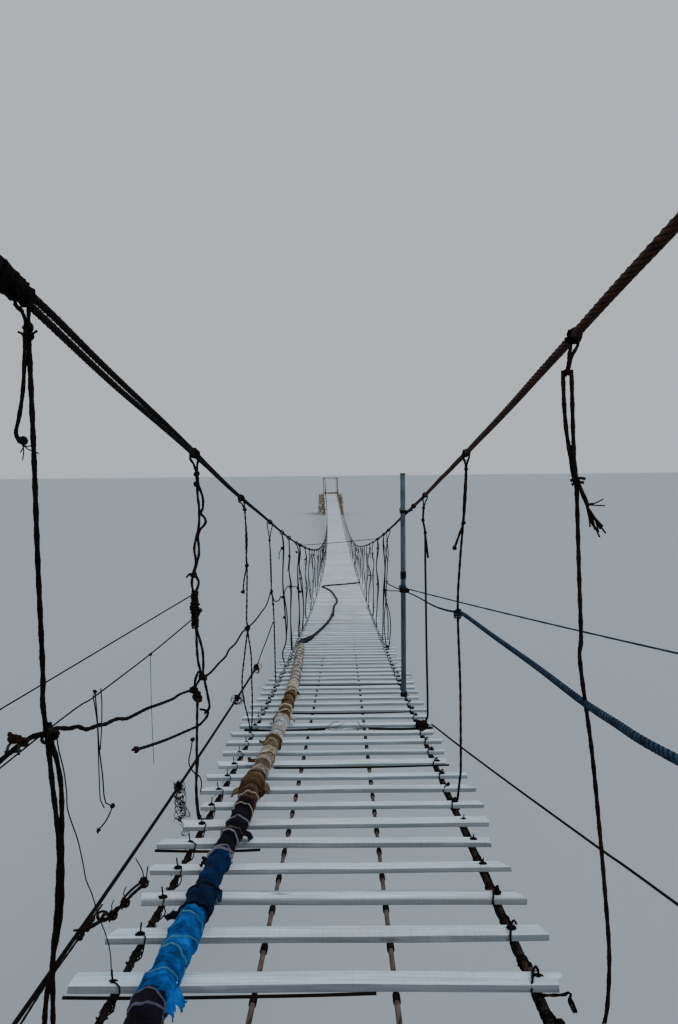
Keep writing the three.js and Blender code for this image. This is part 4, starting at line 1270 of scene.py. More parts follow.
stays = Piece(
    "left_stays", "dark_wire", replaces=("left_lower_stay", "left_upper_guy", "left_lower_guy"), raised="all")
anchored(stays, LEFT_STAY, -1.215, 0.805, 0.0083, STAY_TINT)
wire(stays, [(-0.5336, 6.35, 0.491), (-0.585, 6.4, 0.36), (-0.638, 6.45, 0.235), STAY_TIES[0]], 0.0042,
    0.02, tint=DARK)
anchored(stays, UPPER_GUY, -2.5, 0.5, 0.0026)
anchored(stays, LOWER_GUY, -1.7, 0.42, 0.0026)
for at, size, count in zip(STAY_TIES, (0.04, 0.045, 0.034), (9, 10, 9)):
    for i in range(4):
        knot(stays, around(at, i, 0.006, 0.008, (2, 3)), 0.026, 0.006, 80 + i, DARK, 3)
    tangle(stays, at, size, 0.0023, count, int(at[1] * 10), DARK, 0.4)
for x, y, h, size, count in ((-0.845, 4.15, -0.262, 0.045, 6), (-0.84, 4.12, -0.305, 0.04, 5),
                             (-0.832, 4.1, -0.36, 0.036, 4), (-0.826, 4.1, -0.415, 0.03, 3)):
    tangle(stays, (x, y, h), size, 0.0019, count, int(-100 * h), RUSTY, 1.1)
springy_wire(stays, -0.85, -0.24, 0)
springy_wire(stays, -0.836, -0.235, 1)
for i in range(5):
    t = i / 4
    knot(stays, (-0.938 - 0.012 * t, 2.95 - 0.12 * t, -0.385 - 0.016 * t), 0.024, 0.006, 90 + i, DARK, 3)
twisted(stays, [(-0.93, 3.05, -0.372), (-0.94, 2.93, -0.388), (-0.962, 2.8, -0.42), (-0.985, 2.6, -0.45),
                (-0.99, 2.4, -0.47)], 0.0046, DARK)
twisted(stays, [(-0.955, 2.9, -0.39), (-0.970, 2.88, -0.394), (-0.982, 2.87, -0.39)], 0.0046, DARK)
stays.build()


# Loose wires
CHAIN_TINT = (0.95, 0.7, 0.6)
DROP_WIRE = (
    (-0.485, 1.44, 0.667), (-0.489, 1.458, 0.64), (-0.491, 1.483, 0.601), (-0.499, 1.518, 0.546),
    (-0.508, 1.544, 0.504), (-0.509, 1.568, 0.466), (-0.509, 1.602, 0.415), (-0.514, 1.643, 0.35),
    (-0.519, 1.674, 0.3), (-0.517, 1.7, 0.261), (-0.518, 1.726, 0.221), (-0.519, 1.757, 0.173),
    (-0.517, 1.79, 0.122), (-0.51, 1.8, 0.07), (-0.515, 1.82, 0.0))
CHAIN = (
    (-0.958, 2.89, -0.396), (-0.905, 2.837, -0.363), (-0.844, 2.771, -0.305), (-0.827, 2.742, -0.272),
    (-0.779, 2.696, -0.247), (-0.759, 2.667, -0.216), (-0.728, 2.636, -0.194), (-0.71, 2.612, -0.169),
    (-0.67, 2.563, -0.119), (-0.629, 2.515, -0.074), (-0.605, 2.48, -0.04))
SECOND_CHAIN = (
    (-0.917, 2.85, -0.365), (-0.857, 2.787, -0.316), (-0.817, 2.745, -0.285), (-0.78, 2.707, -0.256),
    (-0.748, 2.667, -0.217), (-0.712, 2.609, -0.153), (-0.667, 2.552, -0.097), (-0.605, 2.48, -0.034))
HANG_Y = 2.47
HANGING = at_y(HANG_Y, ((-0.747, 0.592), (-0.742, 0.5), (-0.738, 0.4), (-0.73, 0.32), (-0.727, 0.25),
    (-0.722, 0.225), (-0.7, 0.214), (-0.71, 0.19), (-0.727, 0.16), (-0.75, 0.135)))
loose = Piece("loose_wires", "dark_wire", raised="all")
wire(loose, DROP_WIRE, 0.0014, 0.02, 5, tint=DARK)
twisted(loose, CHAIN, 0.0062, CHAIN_TINT)
wire(loose, SECOND_CHAIN, 0.0042, 0.02, tint=CHAIN_TINT)
for i in range(2):
    ring(loose, place([(-0.83, 2.746, -0.279)])[0], 0.017 * S, 0.0045 * S, 52 + i, CHAIN_TINT, 6, 18)
for at, count in (((-0.78, 2.7, -0.25), 3), ((-0.71, 2.612, -0.165), 3), ((-0.612, 2.49, -0.045), 4)):
    for i in range(count):
        knot(loose, around(at, i, 0.004, 0.006, (2.2, 1.7)), 0.024, 0.006, 200 + i, CHAIN_TINT, 3)
    fray(loose, at, (0, 0, 1), 0.03, 3, count, 0.002, 0.9, CHAIN_TINT)
wire(loose, HANGING, 0.0024, 0.02, 5, tint=DARK)
wire(loose, [(x + 0.006 * math.sin(i * 1.3), y - 0.02, h - 0.01) for i, (x, y, h) in enumerate(HANGING[:6])],
     0.0020, 0.02, 5, tint=DARK)
wire(loose, at_y(HANG_Y, ((-0.728, 0.6), (-0.726, 0.54), (-0.73, 0.46), (-0.735, 0.4))), 0.0020, 0.02, 5,
    tint=DARK)
wire(loose, at_y(2.746, ((-0.637, 0.676), (-0.638, 0.5), (-0.634, 0.28))), 0.001, 0.1, 4, tint=DARK)
knot(loose, (-0.637, 2.746, 0.676), 0.014, 0.003, 9, DARK, 3)
for x, y, h in at_y(HANG_Y, ((-0.747, 0.59), (-0.702, 0.214), (-0.75, 0.135))):
    knot(loose, (x, y, h), 0.013, 0.0032, int(abs(x) * 100), DARK, 3)
# Bundle of old wire under the end of a plank on the right
for i in range(12):
    at = (0.493 + 0.04 * uneven(i), 4.59 + 0.04 * uneven(i + 40), -0.013 + 0.028 * uneven(i + 80))
    knot(loose, at, 0.03, 0.0062, 300 + i, BLACKISH if i % 3 else (1.0, 0.72, 0.6), 3)
tangle(loose, (0.513, 4.61, 0.001), 0.028, 0.003, 8, 12, BLACKISH, 0.2)
loose.build()

right_stay = Piece("right_stay", "dark_wire", replaces=("right_lower_stay",), raised="all")
anchored(right_stay, RIGHT_STAY, 1.8, 0.34, 0.0052)
right_stay.build()


# Pole with its tape and ties
POLE_H = TOP + 0.002
TIE_FROM = 0.6


def pole_line(heights):
    return place([(POLE_X, POLE_Y, h) for h in heights])


pole = Piece("worn_blue_pole", "blue_paint", replaces=("blue_pole",), raised="over_deck")
heights = np.concatenate(([POLE_H, POLE_H + 0.004], np.linspace(POLE_H + 0.01, POLE_H + 1.571, 60),
    [POLE_H + 1.581]))
shape = np.full(len(heights), 0.0181) + 0.0003 * np.sin(heights * 40)
shape[[0, -1]] = 0.0165
tube(pole, pole_line(heights), shape * S, 24)
for h in (POLE_H + 0.866, POLE_H + 1.573):
    tube(pole, pole_line((h, h + 0.012)), 0.0192 * S, 24, tint=(0.7, 0.7, 0.75))
pole.build()
ties = Piece("pole_ties", "dark_wire", raised="over_deck")
upright = pole_line(np.linspace(TIE_FROM, 1.5, 180))
coil(ties, upright, 0.26 * S, 0.054 * S, 0.0196 * S, 0.0026 * S, 9, (0.4, 0.4, 0.45), 6)
for h, size, count in ((0.781, 0.034, 7), (1.344, 0.02, 4)):
    coil(ties, upright, (h - TIE_FROM - 0.011) * S, 0.022 * S, 0.0212 * S, 0.0034 * S, 3, DARK, 7)
    for i in range(count):
        at = (POLE_X + 0.022 * math.cos(i * 2.1), POLE_Y + 0.02 * math.sin(i * 2.1),
            h + 0.012 * math.sin(i * 1.7))
        knot(ties, at, size, 0.0055, 400 + i, DARK, 3)
for points in (((POLE_X - 0.02, POLE_Y, 0.78), (0.42, 6.5, 0.79), (0.47, 7.4, 0.78), (0.5, 8.3, 0.74)),
               ((POLE_X - 0.02, POLE_Y, 0.772), (0.43, 6.4, 0.735), (0.46, 7.4, 0.69), (0.5, 8.3, 0.62))):
    wire(ties, points, 0.0042, 0.05, tint=DARK)
wire(ties, [(POLE_X + 0.02, POLE_Y, 1.342), (0.53, POLE_Y, 1.345), (0.548, 5.6, 1.355)],
     0.0055, 0.03, 8, 2, 0.25, 0.08, DARK)
wrap_hand(ties, 1, POLE_Y, 0.035, 0.0145, 0.0036, 4, 77, DARK)
coil(ties, pole_line(np.linspace(TOP, TOP + 0.1, 30)), 0.004 * S, 0.03 * S, 0.0215 * S, 0.0045 * S, 3, DARK,
    6)
wire(ties, [(POLE_X + 0.022, POLE_Y, TOP + 0.012), (POLE_X + 0.012, POLE_Y - 0.05, TOP + 0.006),
            (0.505, POLE_Y - 0.06, 0.0)], 0.0042, 0.015, tint=DARK)
ties.build()

# Blue guy line from the pole to its stake on the near wall's right wing
STAKE_X, STAKE_Y = 2.45, -0.3
WING_H = 375.8 / 120 - NEAR_Z
GUY_OUT = 0.0236
GUY_SAG = 0.004
GUY_R = 0.0048
guy = Piece("blue_guy_rope", "blue_rope", replaces=("blue_guy_line",))
start, end = place([(POLE_X + GUY_OUT, POLE_Y, 0.789 + RAISE), (STAKE_X, STAKE_Y + 0.04, WING_H + 85 / 120)])
t = np.linspace(0, 1, 120)[:, None]
tube(guy, start + (end - start) * t - np.array((0, 0, GUY_SAG)) * 4 * t * (1 - t), GUY_R * S, 8, 2, 0.2,
    0.06 * S)
a = np.linspace(0, 2 * np.pi, 16)
for middle, radius in ((start - (GUY_OUT * S, 0, 0), 0.021),
                       (np.array((STAKE_X * S, (STAKE_Y - SPAN / 2) * S, end[2])), 0.037)):
    for i in range(4):
        turn = np.column_stack((np.cos(a) * radius * S, np.sin(a) * radius * S,
            0 * a + (i - 1.5) * 0.009 * S))
        tube(guy, middle + turn, 0.0046 * S, 6)
guy.build()
stake = Piece("rusty_stake", "rusty_wire", "steel", replaces=("anchor_stake",))
stake_h = np.linspace(WING_H + 0.003, WING_H + 0.8, 40)
stake_r = np.full(40, 4 / 120) + 0.0008 * np.sin(stake_h * 60)
stake_r[[0, -1, -2]] = 0.035, 0.034, 0.039
tube(stake, place([(STAKE_X, STAKE_Y, h) for h in stake_h]), stake_r * S, 20, tint=(0.75, 0.6, 0.5))
stake.build()

# Wire tie from one hand cable to the other
TIE_Y = 10.6
tie = Piece("hand_tie", "dark_wire", replaces=("hand_cable_tie",), raised="over_deck")
xl, hl = hand(-1, TIE_Y)
xr, hr = hand(1, TIE_Y)
line = [(xl + t * (xr - xl), TIE_Y, hl + t * (hr - hl) - 0.02 * t * (1 - t)) for t in (0, 0.25, 0.5, 0.75, 1)]
wire(tie, line, 0.0045, 0.05, tint=DARK)
for side, out in ((-1, 0.0175), (1, 0.0145)):
    wrap_hand(tie, side, TIE_Y, 0.05, out, 0.0045, 4, 5, DARK)
tie.build()


# Cloth-wrapped cable: strips of rag wound round and round, then the bare black rope
WRAP_R = 0.0383
ROPE_R = 0.0183
WRAP_LINE = [
    (0.3, -0.385), (0.9, -0.38), (1.51, -0.375), (1.88, -0.367), (2.5, -0.355), (2.8, -0.344), (3.26, -0.347),
    (3.78, -0.335), (4.3, -0.331), (4.8, -0.33), (5.73, -0.343), (6.21, -0.35), (6.65, -0.363), (7.1, -0.378),
    (8.42, -0.421)]
ROPE_LINE = [
    (8.426, -0.421), (8.914, -0.447), (9.31, -0.36), (10.22, -0.265), (10.75, -0.219), (11.29, -0.178),
    (12.57, -0.119), (13.9, -0.114), (14.98, -0.064), (16.2, -0.11), (17.58, -0.208), (18.35, -0.31),
    (19.13, -0.421), (19.7, 0.127), (20.156, 0.505)]
LILAC, PLUM, INK = (0.36, 0.33, 0.52), (0.016, 0.011, 0.028), (0.006, 0.005, 0.012)
SKY, AQUA, TEAL = (0.006, 0.25, 0.92), (0.22, 0.62, 0.92), (0.001, 0.036, 0.13)
ASH, ROSE, GOLD = (0.50, 0.50, 0.60), (0.30, 0.19, 0.18), (0.24, 0.16, 0.075)
BONE, ICE, SAND = (0.80, 0.72, 0.60), (0.92, 0.96, 0.98), (0.84, 0.80, 0.70)
SPICE = (0.105, 0.045, 0.015)
CLOTHS = (
    (-1, 1.61, PLUM, INK), (1.61, 2.02, SKY, SKY), (2.02, 2.45, TEAL, TEAL), (2.45, 2.98, INK, PLUM),
    (2.98, 3.30, SPICE, GOLD), (3.30, 4.10, GOLD, BONE), (4.10, 4.64, ICE, BONE), (4.64, 5.5, GOLD, SPICE),
    (5.5, 20, SAND, GOLD))
BULGES = (
    (1.66, 0.010, 0.05), (1.95, 0.010, 0.06), (2.13, 0.010, 0.07), (2.33, -0.010, 0.06), (2.62, -0.009, 0.13),
    (2.84, -0.004, 0.06), (3.28, 0.024, 0.06), (3.75, 0.009, 0.05), (4.05, 0.012, 0.05), (4.62, 0.012, 0.06),
    (5.0, 0.008, 0.06), (5.6, 0.008, 0.06), (6.6, 0.007, 0.07), (7.5, 0.006, 0.08))
BANDS = ((1.2, 0.007, 0.02, LILAC), (1.34, 0.008, -0.02, LILAC), (1.47, 0.006, 0.03, LILAC),
    (1.585, 0.007, 0.02, LILAC), (1.6, 0.005, -0.03, LILAC), (1.72, 0.005, 0.02, AQUA),
    (1.80, 0.006, -0.03, AQUA), (1.895, 0.005, 0.04, AQUA), (1.99, 0.006, -0.01, AQUA),
    (2.06, 0.009, 0.02, INK), (2.2, 0.007, 0.03, INK), (2.45, 0.011, 0.01, ASH), (2.5, 0.006, 0.02, ASH),
    (2.6, 0.007, -0.03, ASH), (2.68, 0.006, 0.02, ROSE), (2.79, 0.007, 0.03, ASH),
    (2.9, 0.006, -0.02, BONE), (3.0, 0.010, 0.03, SPICE), (3.1, 0.007, 0.04, BONE),
    (3.2, 0.012, 0.02, SPICE), (3.29, 0.012, -0.02, GOLD), (3.38, 0.012, 0.02, SPICE),
    (3.5, 0.007, 0.05, BONE), (3.6, 0.007, -0.05, BONE), (3.72, 0.010, 0.03, GOLD),
    (3.86, 0.007, 0.05, BONE), (3.97, 0.007, -0.03, BONE), (4.06, 0.012, 0.0, SPICE),
    (4.2, 0.008, 0.02, ICE), (4.36, 0.008, 0.03, BONE), (4.52, 0.008, -0.02, ICE),
    (4.63, 0.012, 0.02, GOLD), (4.8, 0.010, 0.03, BONE))
FLAPS = (
    (1.63, 0.97, 0.034, 0.05, 0.03, SKY, 1), (1.69, 0.02, 0.036, 0.05, 0.04, SKY, 2),
    (2.07, 0.5, 0.055, 0.06, 0.0, INK, 3), (2.2, 0.0, 0.028, 0.06, 0.02, TEAL, 4),
    (2.7, 0.0, 0.045, 0.06, 0.02, INK, 16), (2.43, 0.52, 0.04, 0.05, 0.01, INK, 5),
    (3.27, 0.46, 0.055, 0.07, 0.01, GOLD, 6), (3.31, 0.02, 0.05, 0.08, 0.03, GOLD, 7),
    (3.74, 0.48, 0.07, 0.05, -0.01, SPICE, 8), (4.06, 0.52, 0.05, 0.05, 0.0, GOLD, 9),
    (4.62, 0.45, 0.06, 0.05, -0.01, BONE, 10), (4.68, 0.98, 0.05, 0.05, 0.02, BONE, 11),
    (4.9, 0.25, 0.03, 0.07, -0.01, BONE, 12), (5.6, 0.0, 0.04, 0.06, 0.02, SPICE, 13),
    (6.6, 0.5, 0.04, 0.06, 0.0, GOLD, 14), (8.3, 0.3, 0.04, 0.07, -0.01, BONE, 15))
RAG_SIDES = 36
WINDING = 0.095


def smooth_on_planks(line, radius, step):
    """The route from the part's source in metres, with its y, lying on the planks."""
    flat = curve(np.array([(x, y, 0) for y, x in line]), step)
    path = place(np.column_stack((flat[:, 0], flat[:, 1], np.full(len(flat), TOP + radius))))
    return path, flat[:, 1]


def cloth_colour(y, turn):
    """Colour of the rag at each point: y along the bundle and turn the number of the winding."""
    winding = np.floor(turn)
    numbers = range(int(winding.min()), int(winding.max()) + 1)
    index = (winding - winding.min()).astype(int)
    light = np.array([uneven(n * 3 + 5) for n in numbers])[index]
    mix = np.where(light > 0.66, 0.7, 0.1 * light)[..., None]
    colour = np.zeros(y.shape + (3,))
    for a, b, main, second in CLOTHS:
        here = ((y >= a) & (y < b))[..., None]
        colour = np.where(here, np.array(main) * (1 - mix) + np.array(second) * mix, colour)
    shade = 0.75 + 0.5 * np.array([uneven(n + 900) for n in numbers])
    return colour * shade[index][..., None]


def rag_surface(run, y):
    """Radius and colour of the bundle at each point round it and along it; the colour has painted shade where
    each winding dips under the next.
    """
    k = np.arange(RAG_SIDES) / RAG_SIDES
    turn = (run / WINDING + 0.6 * waves(y, 72, (2.3, 5.9, 11)))[:, None] + k[None, :]
    part = turn - np.floor(turn)
    ridge = np.where(part < 0.16, part / 0.16, 1 - 0.75 * (part - 0.16) / 0.84)
    crease = sum(np.sin(2 * np.pi * (a * k[None, :] + b * turn + c))
                 for a, b, c in ((3, 0.37, 0.1), (5, 0.83, 0.4), (9, 1.31, 0.7)))
    swell = sum(size * hump(y, at, wide) for at, size, wide in BULGES)[:, None]
    side = 0.5 + 0.5 * np.cos(2 * np.pi * (k[None, :] - 0.25 + 0.22 * waves(y, 73, (1.9, 4.4, 9))[:, None]))
    radius = WRAP_R * (0.82 + 0.22 * ridge + 0.048 * crease + 0.05 * waves(y, 74, (2.9, 6.1, 13))[:, None])
    radius = np.clip(radius + swell * (0.35 + 0.65 * side), 0.6 * WRAP_R, 0.0715)
    radius[:3] *= np.array((0.55, 0.8, 0.95))[:, None]
    radius[-3:] *= np.array((0.95, 0.8, 0.5))[:, None]
    bent = y[:, None] + 0.03 * np.sin(2 * np.pi * k)[None, :]
    colour = cloth_colour(np.broadcast_to(bent, turn.shape), turn)
    # Painted shade: darker towards the groove between one winding and the next, lightest on each winding's
    # ridge.
    return radius, colour * (0.35 + 0.65 * np.clip(ridge * 1.15, 0, 1))[..., None]


wrap_path, wrap_y = smooth_on_planks(WRAP_LINE, WRAP_R, 0.009)
wrap_run = run_of(wrap_path) / S
rag_r, rag_colour = rag_surface(wrap_run, wrap_y)
_, across, up = axes(wrap_path)


def on_bundle(index, radius, angle):
    """Points at these radii and angles round the bundle, at the numbers of its rings."""
    angle = angle[..., None]
    out = np.cos(angle) * across[index] + np.sin(angle) * up[index]
    return wrap_path[index] + S * radius[..., None] * out


rag_angles = 2 * np.pi * (np.arange(RAG_SIDES) / RAG_SIDES)[None, :]
rag_rings = on_bundle(np.arange(len(wrap_y))[:, None], rag_r, rag_angles)
dip = 0.010 * S * (0.5 + 0.5 * np.sin(2 * np.pi * wrap_y / PITCH))
lowest = wrap_path[:, 2] - S * (WRAP_R - 0.001) - dip
rag_rings[..., 2] = np.maximum(rag_rings[..., 2], lowest[:, None])
rags = Piece("rag_wound_cable", "cloth", replaces=("cloth_wrapped_cable",))
closed_tube(rags, rag_rings, wrap_path[[0, -1]], 0 * wrap_y, wrap_run * 1.2,
            np.vstack((rag_colour.reshape(-1, 3), np.tile(PLUM, (2, 1)))))
rag_object = rags.build()


def band(piece, centre_y, wide, lean, tint):
    """A narrow strip of cloth or string drawn tight round the bundle."""
    a = np.linspace(0, 2 * np.pi, 40)
    y = centre_y + lean * np.sin(a + 0.4) + wide * 1.3 * a / (2 * np.pi)
    index = np.clip(np.interp(y, wrap_y, np.arange(len(wrap_y))).astype(int), 0, len(wrap_y) - 1)
    column = ((a / (2 * np.pi)) % 1 * RAG_SIDES).astype(int) % RAG_SIDES
    path = on_bundle(index, rag_r[index, column] + 0.001, a)
    path[:, 2] = np.maximum(path[:, 2], wrap_path[index, 2] - S * (WRAP_R + 0.002))
    path[1:-1] = (path[:-2] + 2 * path[1:-1] + path[2:]) / 4
    tube(piece, path, wide * 0.5 * S, 6, tint=tint)


def flap(piece, y, round_at, long, wide, droop, tint, seed):
    """A loose end of rag that stands off the bundle: a thin sheet of rows and columns with a rim."""
    rows, columns = 9, 7
    i = int(np.interp(y, wrap_y, np.arange(len(wrap_y))))
    a = 2 * np.pi * round_at
    out = np.cos(a) * across[i] + np.sin(a) * up[i]
    along = np.cross(across[i], up[i])
    root = wrap_path[i] + S * rag_r[i, int(round_at * RAG_SIDES) % RAG_SIDES] * out * 0.9
    u, v = np.meshgrid(np.linspace(0, 1, rows), np.linspace(-0.5, 0.5, columns), indexing="ij")
    ragged = 1 - 0.25 * u * np.abs(np.sin(v * 9 + seed)) - 0.25 * u**2
    spread = wide * v * (1 + 0.3 * np.sin(4 * u + seed))
    body = root + S * (out * (long * u * ragged)[..., None] + along * spread[..., None])
    body[..., 2] -= S * droop * u**2 - S * 0.008 * np.sin(6 * v + seed) * u
    body[..., 2] = np.maximum(body[..., 2], wrap_path[i, 2] - S * (WRAP_R - 0.002))
    thick = 0.0022 * S * up[i]
    number = np.arange(rows * columns).reshape(rows, columns)
    quad = np.stack((number[:-1, :-1], number[:-1, 1:], number[1:, 1:], number[1:, :-1]), -1).reshape(-1, 4)
    rim = np.concatenate((number[0], number[1:, -1], number[-1, -2::-1], number[-2:0:-1, 0]))
    under = rows * columns
    walls = np.stack((rim, np.roll(rim, -1), np.roll(rim, -1) + under, rim + under), -1)
    faces = [quad[:, ::-1], quad + under, walls]
    uv = [np.tile(((0, 0), (0.02, 0), (0.02, 0.02), (0, 0.02)), (len(f), 1, 1)) for f in faces]
    body = body.reshape(-1, 3)
    piece.add(np.vstack((body + thick, body - thick)), faces, uv, tint)


bands = Piece("rag_bands", "cloth")
for values in BANDS:
    band(bands, *values)
g = np.random.default_rng(78)
for y in np.arange(4.95, 8.3, 0.14):
    band(bands, y + 0.05 * g.uniform(-1, 1), g.uniform(0.008, 0.014), 0.05 * g.uniform(-1, 1),
         (SAND, GOLD, BONE, SPICE)[int(g.integers(4))])
for values in FLAPS:
    flap(bands, *values)
band_object = bands.build()
tuple(map(float, wrap_path[0]))
float(run_of(wrap_path)[-1])
[tuple(map(float, p)) for p in wrap_path]

rope_path, rope_y = smooth_on_planks(ROPE_LINE, ROPE_R, 0.02)
rope_run = run_of(rope_path) / S
rope_r = ROPE_R * (0.98 + 0.035 * waves(rope_y, 81, (5, 12, 25)))
rope_r = rope_r + 0.0145 * np.exp(-(((rope_run - 0.55) / 0.5) ** 4)) + 0.011 * hump(rope_y, 12.35, 0.09)
rope_r = np.clip(rope_r, 0.8 * ROPE_R, 0.0355)
black = Piece("black_hose_rope", "black_rope", replaces=("black_deck_rope",))
tube(black, rope_path, rope_r * S, 16, turn=0.3 * S)
black_object = black.build()
tuple(map(float, rope_path[0]))
float(run_of(rope_path)[-1])
[tuple(map(float, p)) for p in rope_path]


# End walls of rubble: courses of rough stones round a dark core
WALL_DEPTH = 3.0
BLOCK_HALF = 1.15
WING_HALF = 2.6
BATTER = 0.1
NEAR_TOP = NEAR_Z - 0.015
FAR_TOP = FAR_Z - 0.015
WING_TOP = NEAR_TOP - 0.17
STONE = 0.24
SMALL_STONE = 0.2
PAVING = 0.3
JOINT = 0.006
INSET = 0.07
CORE = (0.22, 0.21, 0.20)
STONE_TINTS = ((1.0, 0.98, 0.95), (0.82, 0.80, 0.80), (1.12, 1.04, 0.94), (0.70, 0.66, 0.64),
    (0.95, 0.86, 0.78), (1.15, 1.13, 1.10), (0.78, 0.72, 0.66))
MIDDLE = (0, SPAN / 2, 0)


def stone_faces(spots):
    """The six sides of a block of three by three quads, as numbers of its spots."""
    number = {spot: i for i, spot in enumerate(spots)}
    faces = []
    for axis in range(3):
        for end in (0, 3):
            for i in range(3):
                for j in range(3):
                    corners = []
                    for a, b in ((i, j), (i + 1, j), (i + 1, j + 1), (i, j + 1)):
                        spot = [a, b]
                        spot.insert(axis, end)
                        corners.append(number[tuple(spot)])
                    faces.append(corners if (end == 3) != (axis == 1) else corners[::-1])
    return np.array(faces)


def stone_shape(spots, seed):
    """A rounded, chiselled block about two units wide."""
    base = np.array(spots, float) / 1.5 - 1
    base = base / (np.abs(base) ** 5).sum(1)[:, None] ** 0.2
    g = np.random.default_rng(seed)
    p = base * (1 + 0.07 * g.normal(size=(len(base), 1)))
    for _ in range(5):
        way = g.normal(size=3)
        way /= np.linalg.norm(way)
        p = p - np.maximum(0, p @ way - g.uniform(0.82, 1.05))[:, None] * way
    return p


SPOTS = [(i, j, k) for i in range(4) for j in range(4) for k in range(4) if {i, j, k} & {0, 3}]
STONE_FACES = stone_faces(SPOTS)
STONES = [stone_shape(SPOTS, 700 + i) for i in range(16)]


def stone(piece, centre, half, seed):
    """One stone with its middle and half sizes in spacings of the shared frame."""
    g = np.random.default_rng(seed)
    shape = STONES[int(g.integers(len(STONES)))]
    signs = np.sign(g.uniform(-1, 1, 3))
    p = shape * signs * half
    flips = np.sign(g.uniform(-1, 1))
    a = 0.05 * g.normal()
    p = np.column_stack((p[:, 0] + a * p[:, 2], p[:, 1] * flips, p[:, 2] - a * p[:, 0]))
    tint = np.array(STONE_TINTS[int(g.integers(len(STONE_TINTS)))]) * g.uniform(0.85, 1.1)
    mirrored = np.prod(signs) * flips < 0
    faces = STONE_FACES[:, ::-1] if mirrored else STONE_FACES
    piece.add((np.asarray(centre) + p - MIDDLE) * S, [faces], [np.zeros((len(faces), 4, 2))], tint)


def courses(low, high, g, size):
    """Heights of the courses between low and high."""
    marks = [low]
    while marks[-1] < high - 1.5 * size:
        marks.append(marks[-1] + size * g.uniform(0.75, 1.25))
    return marks + [high]


def row(start, stop, g, size, shortest, longest, least):
    """The stretches of a row's stones one after another; the last one reaches its end."""
    a = start
    while a < stop - 0.02:
        b = min(stop, a + size * g.uniform(shortest, longest))
        if stop - b < least * size:
            b = stop
        yield a, b
        a = b


def face_of_stones(piece, axis, at, outward, low, high, edge, seed, size=STONE):
    """A wall face square to an axis (0 is x, 1 is y); edge gives the face's ends and set-back at a height."""
    g = np.random.default_rng(seed)
    marks = courses(low, high, g, size)
    for z0, z1 in zip(marks, marks[1:]):
        start, stop, back = edge(0.5 * (z0 + z1))
        for a, b in row(start, stop, g, size, 1.0, 2.1, 0.6):
            deep = g.uniform(0.09, 0.13)
            out = at + outward * (back - deep + g.uniform(-0.016, 0.004))
            middle = np.array((out, 0.5 * (a + b), 0.5 * (z0 + z1)))
            half = np.array((deep, 0.5 * (b - a) - JOINT, 0.5 * (z1 - z0) - JOINT)) * 1.04
            if axis == 1:
                middle[[0, 1]] = middle[[1, 0]]
                half[[0, 1]] = half[[1, 0]]
            stone(piece, middle, half, int(g.integers(1 << 30)))


def paving(piece, x0, x1, y0, top, seed):
    """Flat stones over a wall's whole depth, between two sides."""
    g = np.random.default_rng(seed)
    rows = courses(y0, y0 + WALL_DEPTH, g, PAVING)
    for a, b in zip(rows, rows[1:]):
        for x, e in row(x0, x1, g, PAVING, 0.8, 1.7, 0.5):
            drop = g.uniform(0, 0.006)
            stone(piece, (0.5 * (x + e), 0.5 * (a + b), top - 0.06 - drop),
                  (0.5 * (e - x) - JOINT, 0.5 * (b - a) - JOINT, 0.061), int(g.integers(1 << 30)))


def core(piece, half, y0, low, top):
    """The dark block that the stones stand round."""
    a = np.array((-half + INSET, y0 + INSET, low))
    b = np.array((half - INSET, y0 + WALL_DEPTH - INSET, top - 0.05))
    corners = np.array([(x, y, z) for z in (0, 1) for y in (0, 1) for x in (0, 1)])
    faces = np.array(((0, 2, 3, 1), (4, 5, 7, 6), (0, 1, 5, 4), (2, 6, 7, 3), (0, 4, 6, 2), (1, 3, 7, 5)))
    piece.add(((a + (b - a) * corners) - MIDDLE) * S, [faces], [np.zeros((6, 4, 2))], CORE)


def grown(half, top):
    """Half of a wall's width at a height: it widens downward."""
    return lambda z: half + BATTER * (1 - z / top)


near_wall = Piece("near_rubble_wall", "masonry", replaces=("near_abutment",))
core(near_wall, WING_HALF, -WALL_DEPTH, 0.0, WING_TOP)
core(near_wall, BLOCK_HALF, -WALL_DEPTH, 1.0, NEAR_TOP)
wing = grown(WING_HALF, WING_TOP)
for at, outward, seed in ((0.0, 1, 11), (-WALL_DEPTH, -1, 12)):
    face_of_stones(near_wall, 1, at, outward, 0, WING_TOP, lambda z: (-wing(z), wing(z), 0), seed)
    face_of_stones(near_wall, 1, at, outward, WING_TOP, NEAR_TOP, lambda z: (-BLOCK_HALF, BLOCK_HALF, 0),
                   seed + 20, SMALL_STONE)
for side in (-1, 1):
    face_of_stones(near_wall, 0, side * WING_HALF, side, 0, WING_TOP,
                   lambda z: (-WALL_DEPTH, 0, wing(z) - WING_HALF), 15 + side)
    face_of_stones(near_wall, 0, side * BLOCK_HALF, side, WING_TOP, NEAR_TOP, lambda z: (-WALL_DEPTH, 0, 0),
                   35 + side, SMALL_STONE)
    paving(near_wall, *sorted((side * BLOCK_HALF, side * WING_HALF)), -WALL_DEPTH, WING_TOP, 45 + side)
paving(near_wall, -BLOCK_HALF, BLOCK_HALF, -WALL_DEPTH, NEAR_TOP, 50)
near_wall.build()

